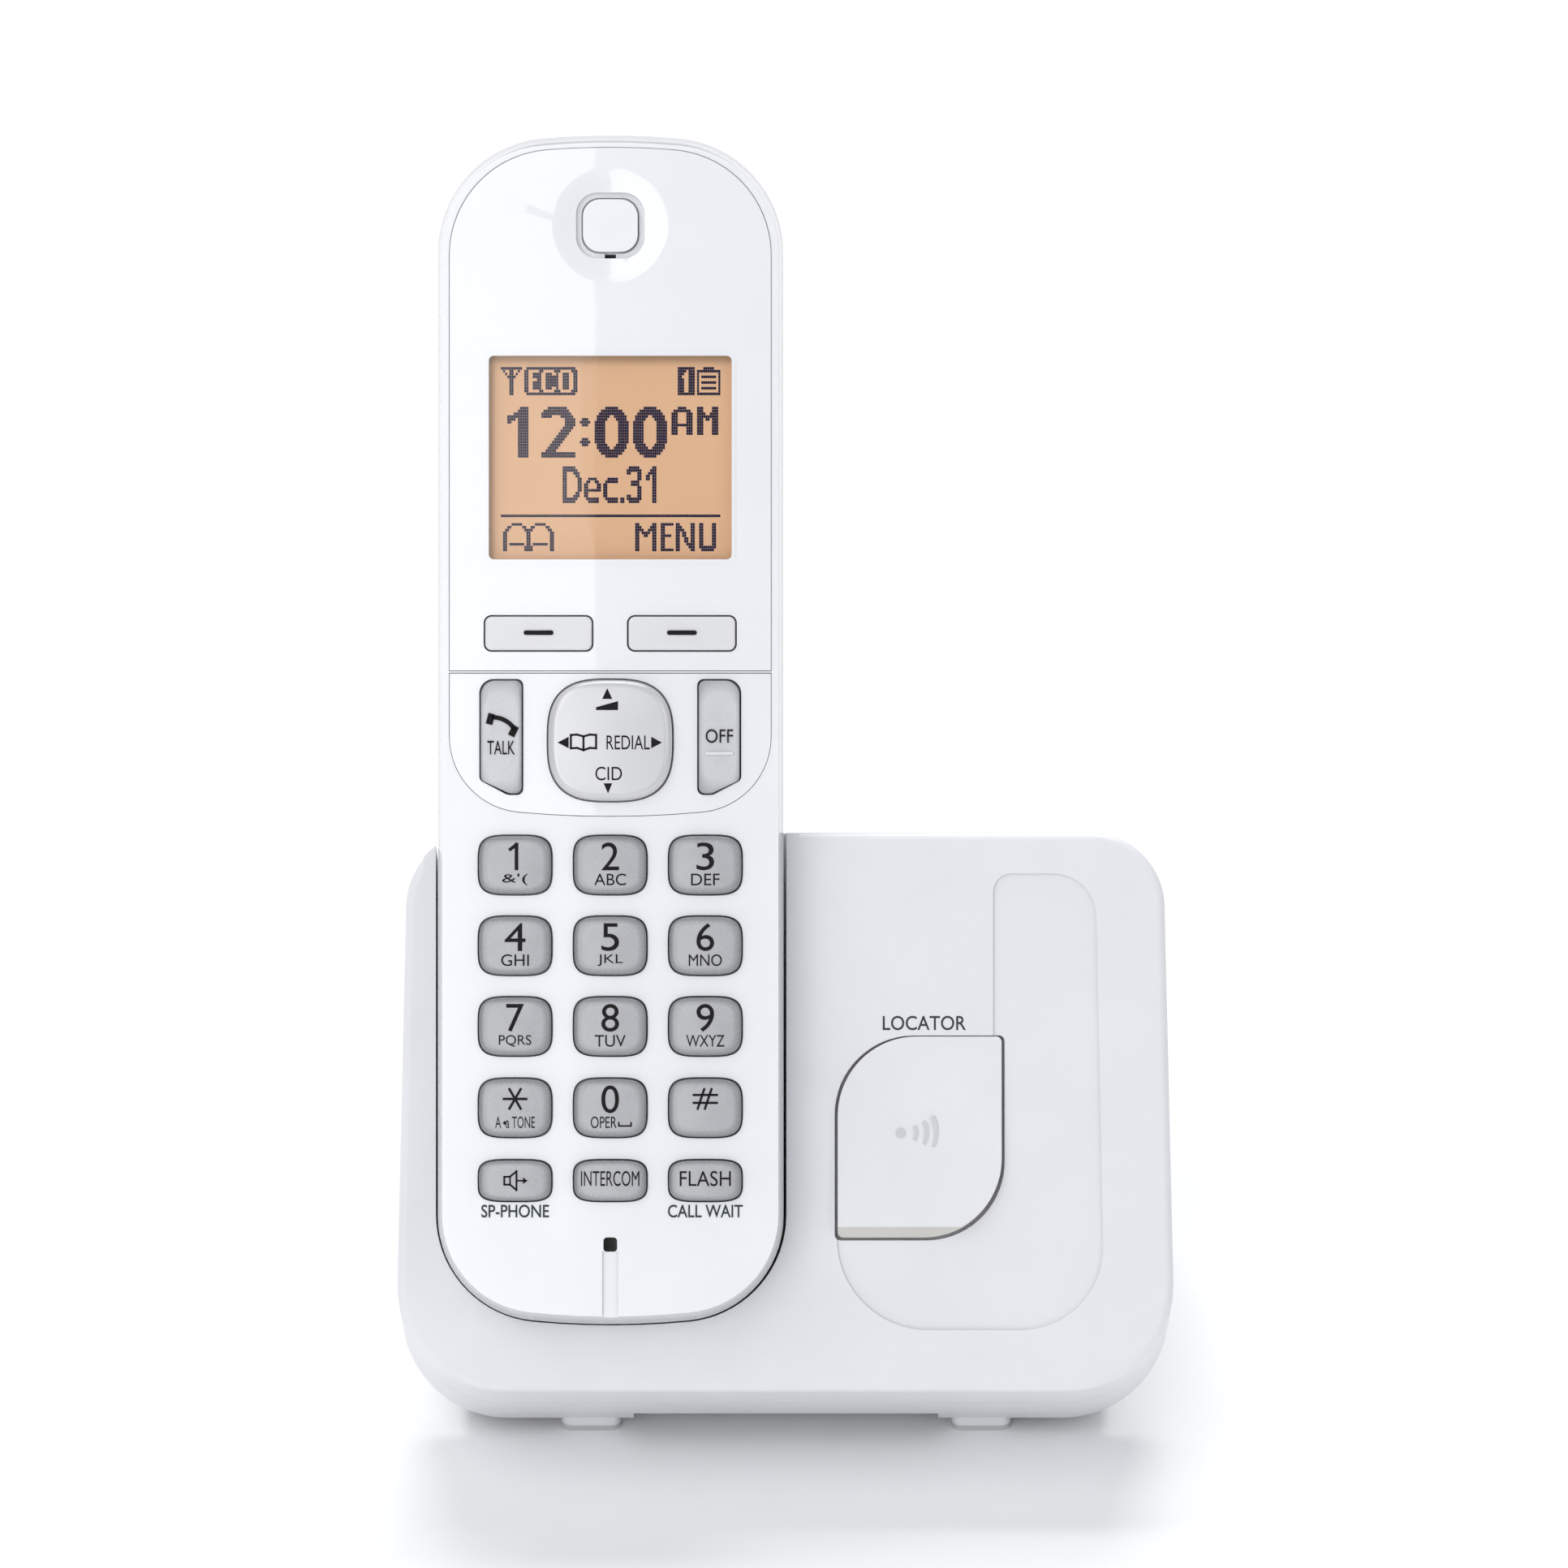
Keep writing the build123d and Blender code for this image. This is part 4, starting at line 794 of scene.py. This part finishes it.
class PHONE_OT_prints(bpy.types.Operator):
    """Printed digits, letters and icons on the keys and on the cases"""
    bl_idname = "phone.prints"
    bl_label = "Prints"

    record_slot = "dark_plastic"

    def finish(self, name, bm, body, slot_name="print_ink", matrix=HAND):
        """Puts a print on its face and lets it ride on a body."""
        bmesh.ops.recalc_face_normals(bm, faces=bm.faces)
        bmesh.ops.transform(bm, matrix=matrix, verts=bm.verts)
        return add_piece(name, bm, body, [slot_name])

    def digit(self, node, x, v, level, ink):
        """Digit or sign of a dialling key, with its letters."""
        bm = bmesh.new()
        big, small = KEY_LABELS[node]
        if big == "1":
            add_stroke(bm, ((x + 0.2, v - 0.45), (x + 0.2, v + 2.85)), 0.5, level, ink)
            add_stroke(bm, ((x + 0.15, v + 2.8), (x - 0.65, v + 2.2)), 0.45, level + 0.001, ink)
        elif big:
            add_text(bm, big, x, v + 1.2, level, DIGIT_WIDTH.get(big, 2.45), 3.85, ink)
        if node == "key_star":
            add_shape(bm, ((x - 1.72, v - 2.1), (x - 1.42, v - 2.4), (x - 1.12, v - 2.1),
                           (x - 1.42, v - 1.8)), level, ink)
            for turn in (0, 60, 120):
                along = Vector((math.cos(math.radians(turn)), math.sin(math.radians(turn)))) * 1.55
                add_stroke(bm, ((x - along.x, v + 1.25 - along.y), (x + along.x, v + 1.25 + along.y)),
                           0.34, level + turn * 0.00002, ink)
        if node == "key_hash":
            for shift in (-0.5, 0.5):
                add_stroke(bm, ((x + shift - 0.55, v - 0.1), (x + shift + 0.35, v + 2.6)), 0.32, level, ink)
                add_stroke(bm, ((x - 1.6, v + 1.25 + shift * 1.1), (x + 1.6, v + 1.25 + shift * 1.1)),
                           0.32, level, ink)
        if small:
            shift = -0.9 if node == "key_0" else 0.0
            add_text(bm, small, x + shift, v - 2.0, level, LETTER_WIDTH[small], 1.62, ink)
        if node == "key_0":
            add_stroke(bm, ((x + 1.2, v - 2.05), (x + 1.2, v - 2.5), (x + 2.9, v - 2.5),
                            (x + 2.9, v - 2.05)), 0.22, level, ink)
        self.finish(node + "_print", bm, node)

    def execute(self, context):
        sizes = context.scene.phone_sizes
        materials(context.scene.phone_colours)
        ink = sizes.ink / MM
        level = sizes.key_rise / MM + 0.005
        for index, node in enumerate(DIGIT_KEYS):
            self.digit(node, KEY_COLUMNS[index % 3], KEY_ROWS[index // 3], level, ink)

        left, middle, right = KEY_COLUMNS
        bm = bmesh.new()
        v = FUNCTION_ROW
        add_stroke(bm, ((left - 1.5, v + 0.55), (left - 0.7, v + 0.55), (left + 0.2, v + 1.3),
                        (left + 0.2, v - 1.3), (left - 0.7, v - 0.55), (left - 1.5, v - 0.55),
                        (left - 1.5, v + 0.55)), 0.26, level, ink)
        add_stroke(bm, ((left - 0.7, v + 0.55), (left - 0.7, v - 0.55)), 0.22, level, ink)
        add_stroke(bm, ((left + 0.2, v), (left + 1.4, v)), 0.22, level, ink)
        add_shape(bm, ((left + 1.1, v - 0.45), (left + 1.75, v), (left + 1.1, v + 0.45)), level, ink)
        self.finish("key_speaker_print", bm, "key_speaker")
        for node, x, word, width in (("key_intercom", middle, "INTERCOM", 8.1),
                                     ("key_flash", right, "FLASH", 7.1)):
            bm = bmesh.new()
            add_text(bm, word, x, v + 0.3, level, width, 2.1, ink)
            self.finish(node + "_print", bm, node)

        bm = bmesh.new()
        top = sizes.nav_rise / MM + 0.005
        add_shape(bm, ((-1.1, NAV_V + 5.75), (0.3, NAV_V + 5.75), (-0.4, NAV_V + 7.25)), top, ink)
        add_shape(bm, ((-1.95, NAV_V + 4.2), (1.1, NAV_V + 4.2), (1.1, NAV_V + 5.45), (-1.95, NAV_V + 4.6)),
                  top, ink)
        add_shape(bm, ((-7.3, NAV_V - 0.3), (-5.75, NAV_V - 1.1), (-5.75, NAV_V + 0.5)), top, ink)
        add_shape(bm, ((7.2, NAV_V - 0.3), (5.7, NAV_V + 0.5), (5.7, NAV_V - 1.1)), top, ink)
        add_shape(bm, ((-0.3, NAV_V - 7.35), (0.3, NAV_V - 5.95), (-0.9, NAV_V - 5.95)), top, ink)
        book = ((0.0, 0.55), (0.9, 0.8), (1.75, 0.75), (1.75, -1.1), (0.9, -1.05), (0.0, -1.35))
        for side in (-1, 1):
            add_stroke(bm, [(-3.7 + side * x, NAV_V + v) for x, v in book], 0.3, top, ink)
        add_stroke(bm, ((-3.7, NAV_V + 0.55), (-3.7, NAV_V - 1.35)), 0.3, top, ink)
        add_text(bm, "REDIAL", 2.5, NAV_V - 0.28, top, 6.0, 1.95, ink)
        add_text(bm, "CID", -0.2, NAV_V - 4.6, top, 3.7, 1.9, ink)
        self.finish("key_navigation_print", bm, "key_navigation")

        for side, node in ((-1, "softkey_left"), (1, "softkey_right")):
            bm = bmesh.new()
            made = bmesh.ops.create_circle(bm, cap_ends=True, radius=1.0, segments=32)
            for vertex in made["verts"]:
                end = math.copysign(1.75, vertex.co.x)
                vertex.co = (side * SOFT_X + end + vertex.co.x * 0.32,
                             SOFT_V + 0.1 + vertex.co.y * 0.32, 0.705)
            thicken(bm, bm.faces[:], ink)
            self.finish(node + "_print", bm, node)

        bm = bmesh.new()
        face = 0.805
        add_text(bm, "TALK", -15.15, 80.2, face, 3.8, 1.9, ink)
        add_arc(bm, -16.3, 80.8, 3.6, 92, 30, 0.62, face, ink)
        add_stroke(bm, ((-16.55, 84.45), (-16.7, 83.9)), 0.95, face, ink)
        add_stroke(bm, ((-13.3, 82.75), (-13.55, 82.25)), 0.95, face, ink)
        self.finish("key_talk_print", bm, "key_talk")
        bm = bmesh.new()
        add_text(bm, "OFF", 15.15, 81.8, face, 3.8, 1.88, ink)
        self.finish("key_off_print", bm, "key_off")

        bm = bmesh.new()
        add_text(bm, "SP-PHONE", left, 15.85, -0.09, 9.4, 1.78, ink, 0.01)
        add_text(bm, "CALL WAIT", right, 15.85, -0.09, 10.4, 1.78, ink, 0.01)
        self.finish("handset_labels", bm, "handset", "label_ink")
        bm = bmesh.new()
        level = level_at("base_upper_case", BASE, 19.4, 51.35) + 0.005
        add_text(bm, "LOCATOR", 19.4, 51.35, level, 11.6, 2.0, ink, 0.006)
        self.finish("base_label", bm, "base", "label_ink", BASE)

        # raised call waves on the locator button, darker than the base white as painted shade
        bm = bmesh.new()
        x, v = 16.1, 36.0
        level = level_at("locator_button", BASE, x, v) - 0.02
        add_arc(bm, x, v, 0.45, 0, 360, 0.55, level, 0.14, 24)
        for radius, spread_angle in ((2.15, 26), (3.6, 26), (4.95, 28)):
            add_arc(bm, x, v, radius, -spread_angle, spread_angle, 0.62, level, 0.14, 16)
        self.finish("locator_waves", bm, "locator_button", "emboss", BASE)
        return {"FINISHED"}


class PHONE_OT_base_cases(bpy.types.Operator):
    """Upper and lower case of the base and the locator button"""
    bl_idname = "phone.base_cases"
    bl_label = "Base cases"

    slots = ["base_white", "base_crease", "base_gap", "base_under"]

    def shade_steps(self, bm, node):
        """Painted shade: a deeper tone where the sunk panel steps down, a near-black tone on the walls round the
        button and a darker tone under its lip.
        """
        bm.normal_update()
        to_base = local(BASE)
        for face in bm.faces:
            spot = to_base @ face.calc_center_median()
            tilt = face.normal.dot(OUT)
            if node == "locator_button":
                # painted shade on the faces of the button turned down
                if spot.z > -2.4 and face.normal.dot(UP) < -0.12:
                    face.material_index = self.slots.index("base_under")
            elif node == "base_upper_case" and 5.0 < spot.x < 46.0 and 5.0 < spot.y < 76.0:
                # painted shadow on the walls round the button, painted shade on the panel's steps
                if abs(tilt) < 0.2 and spot.z < -0.9 and abs(face.normal.dot(RIGHT)) > 0.3:
                    face.material_index = self.slots.index("base_gap")
                elif tilt < 0.985 and spot.z > -1.6:
                    face.material_index = self.slots.index("base_crease")

    def fit_edges(self, bm, node):
        """Cradle wall level with the top edge, panel sunk up to the button, cap close to its opening."""
        to_base = local(BASE)
        upper = node == "base_upper_case"
        button_height = BUTTON_V[1] - BUTTON_V[0]
        for vertex in bm.verts:
            spot = to_base @ vertex.co
            cradle = upper and spot.x < 2.1
            corner = upper and 24.0 < spot.x < 29.1 and 21.9 < spot.y < 26.4
            if cradle and spot.z > -0.3 and spot.y > FACE_END - 0.1:
                spot.y = FACE_END - 0.3
            elif cradle and spot.z < -18.5 and spot.y > 73.5:
                spot.y += 3.4
            elif corner and spot.z > -0.3:
                spot.z = -PANEL_STEP
            elif node == "locator_button" and spot.z > -2.6:
                spot.y += 0.28 * (spot.y - BUTTON_V[0]) / button_height
            else:
                continue
            vertex.co = BASE @ spot
        bmesh.ops.remove_doubles(bm, verts=bm.verts, dist=0.00001)

    def execute(self, context):
        sizes = context.scene.phone_sizes
        materials(context.scene.phone_colours)
        for node, name, body in (("base_upper_case", "upper_case", "base"),
                                 ("base_lower_case", "lower_case", "base"),
                                 ("locator_button", "locator_cap", "locator_button")):
            bm = merged_copy(node)
            self.fit_edges(bm, node)
            bm.normal_update()
            round_edges(bm, sizes.edge, angle=40.0)
            self.shade_steps(bm, node)
            add_piece(name, bm, body, self.slots, [node], weighted=True)
        return {"FINISHED"}


class PHONE_OT_inner_parts(bpy.types.Operator):
    """Finishes of the parts that keep their own shape: boards, cells, contacts, pads"""
    bl_idname = "phone.inner_parts"
    bl_label = "Inner parts"

    def execute(self, context):
        made = materials(context.scene.phone_colours)
        slots = {entry["node"]: entry["material_slot"] for entry in frame["record"]["subparts"]}
        slots["microphone_boot"] = slots["microphone"] = "dark_plastic"
        for node, obj in NODES.items():
            if obj.hide_render or node == "display_panel":
                continue
            obj.data.materials.clear()
            obj.data.materials.append(made[slots[node]])
        return {"FINISHED"}


# ---------------------------------------------------------------------------
# Stage
# ---------------------------------------------------------------------------
class PHONE_OT_stage(bpy.types.Operator):
    """Pale floor, soft lights and the camera"""
    bl_idname = "phone.stage"
    bl_label = "Stage"

    def card(self, name, size, place, target, power):
        """A soft rectangular light, turned towards a target."""
        light = bpy.data.lights.new(name, "AREA")
        light.shape = "RECTANGLE"
        light.size, light.size_y = size
        light.energy = power
        lamp = bpy.data.objects.new(name, light)
        lamp.location = place
        lamp.rotation_euler = (Vector(target) - Vector(place)).to_track_quat("-Z", "Y").to_euler()
        bpy.context.scene.collection.objects.link(lamp)

    def execute(self, context):
        bm = bmesh.new()
        bmesh.ops.create_grid(bm, x_segments=1, y_segments=1, size=6.0)
        mesh = bpy.data.meshes.new("floor")
        bm.to_mesh(mesh)
        bm.free()
        floor = bpy.data.objects.new("floor", mesh)
        context.scene.collection.objects.link(floor)
        paper = moulded("floor_paper", (0.93, 0.93, 0.935), gloss=0.6, grain=800.0, depth=0.02, vary=0.004)
        mesh.materials.append(paper)

        world = bpy.data.worlds.new("studio")
        context.scene.world = world
        world.use_nodes = True
        background = world.node_tree.nodes["Background"]
        background.inputs["Color"].default_value = (0.93, 0.95, 1.0, 1.0)
        background.inputs["Strength"].default_value = 0.5

        centre = BASE @ Vector((0.0, 84.7, 4.0))
        # the card whose edge shows as an upright line in the glossy window
        place = centre + OUT * 1.819 + RIGHT * -0.6526
        self.card("window_card", (1.2, 1.6), place, place - OUT, 12.0)
        self.card("key_light", (1.2, 1.0), centre + Vector((-0.9, -0.6, 1.6)), centre, 6.5)
        self.card("fill_light", (0.9, 0.9), centre + Vector((1.2, -0.9, 0.9)), centre, 2.6)
        self.card("top_light", (1.4, 1.0), centre + Vector((0.0, 1.1, 1.6)), centre, 26.0)

        camera = bpy.data.objects.new("camera", bpy.data.cameras.new("camera"))
        context.scene.collection.objects.link(camera)
        lens, sensor, picture = 300.0, 36.0, 0.2183
        distance = picture * lens / sensor
        camera.data.lens = lens
        camera.data.sensor_width = sensor
        camera.data.clip_end = 20.0
        camera.location = centre + OUT * distance - RIGHT * 0.00018
        camera.rotation_euler = Matrix((RIGHT, UP, OUT)).transposed().to_euler()
        context.scene.camera = camera
        context.scene.view_settings.view_transform = "Standard"
        return {"FINISHED"}


class PHONE_PT_panel(bpy.types.Panel):
    """Steps of the phone's looks, in order"""
    bl_idname = "PHONE_PT_panel"
    bl_label = "Cordless phone"
    bl_space_type = "VIEW_3D"
    bl_region_type = "UI"
    bl_category = "Phone"

    def draw(self, context):
        for operator in OPERATORS:
            self.layout.operator(operator.bl_idname, text=operator.bl_label)
        for group in (context.scene.phone_sizes, context.scene.phone_colours):
            for name in group.bl_rna.properties.keys():
                if name not in ("rna_type", "name"):
                    self.layout.prop(group, name)


OPERATORS = (PHONE_OT_stage, PHONE_OT_handset_cases, PHONE_OT_window, PHONE_OT_display, PHONE_OT_keys,
             PHONE_OT_prints, PHONE_OT_base_cases, PHONE_OT_inner_parts)
CLASSES = (PhoneSizes, PhoneColours, *OPERATORS, PHONE_PT_panel)


def register():
    for cls in CLASSES:
        bpy.utils.register_class(cls)
    bpy.types.Scene.phone_sizes = bpy.props.PointerProperty(type=PhoneSizes)
    bpy.types.Scene.phone_colours = bpy.props.PointerProperty(type=PhoneColours)


def unregister():
    del bpy.types.Scene.phone_colours
    del bpy.types.Scene.phone_sizes
    for cls in reversed(CLASSES):
        bpy.utils.unregister_class(cls)


def main():
    register()
    bpy.ops.phone.stage()
    bpy.ops.phone.handset_cases()
    bpy.ops.phone.window()
    bpy.ops.phone.display()
    bpy.ops.phone.keys()
    bpy.ops.phone.prints()
    bpy.ops.phone.base_cases()
    bpy.ops.phone.inner_parts()


if __name__ == "__main__":
    main()
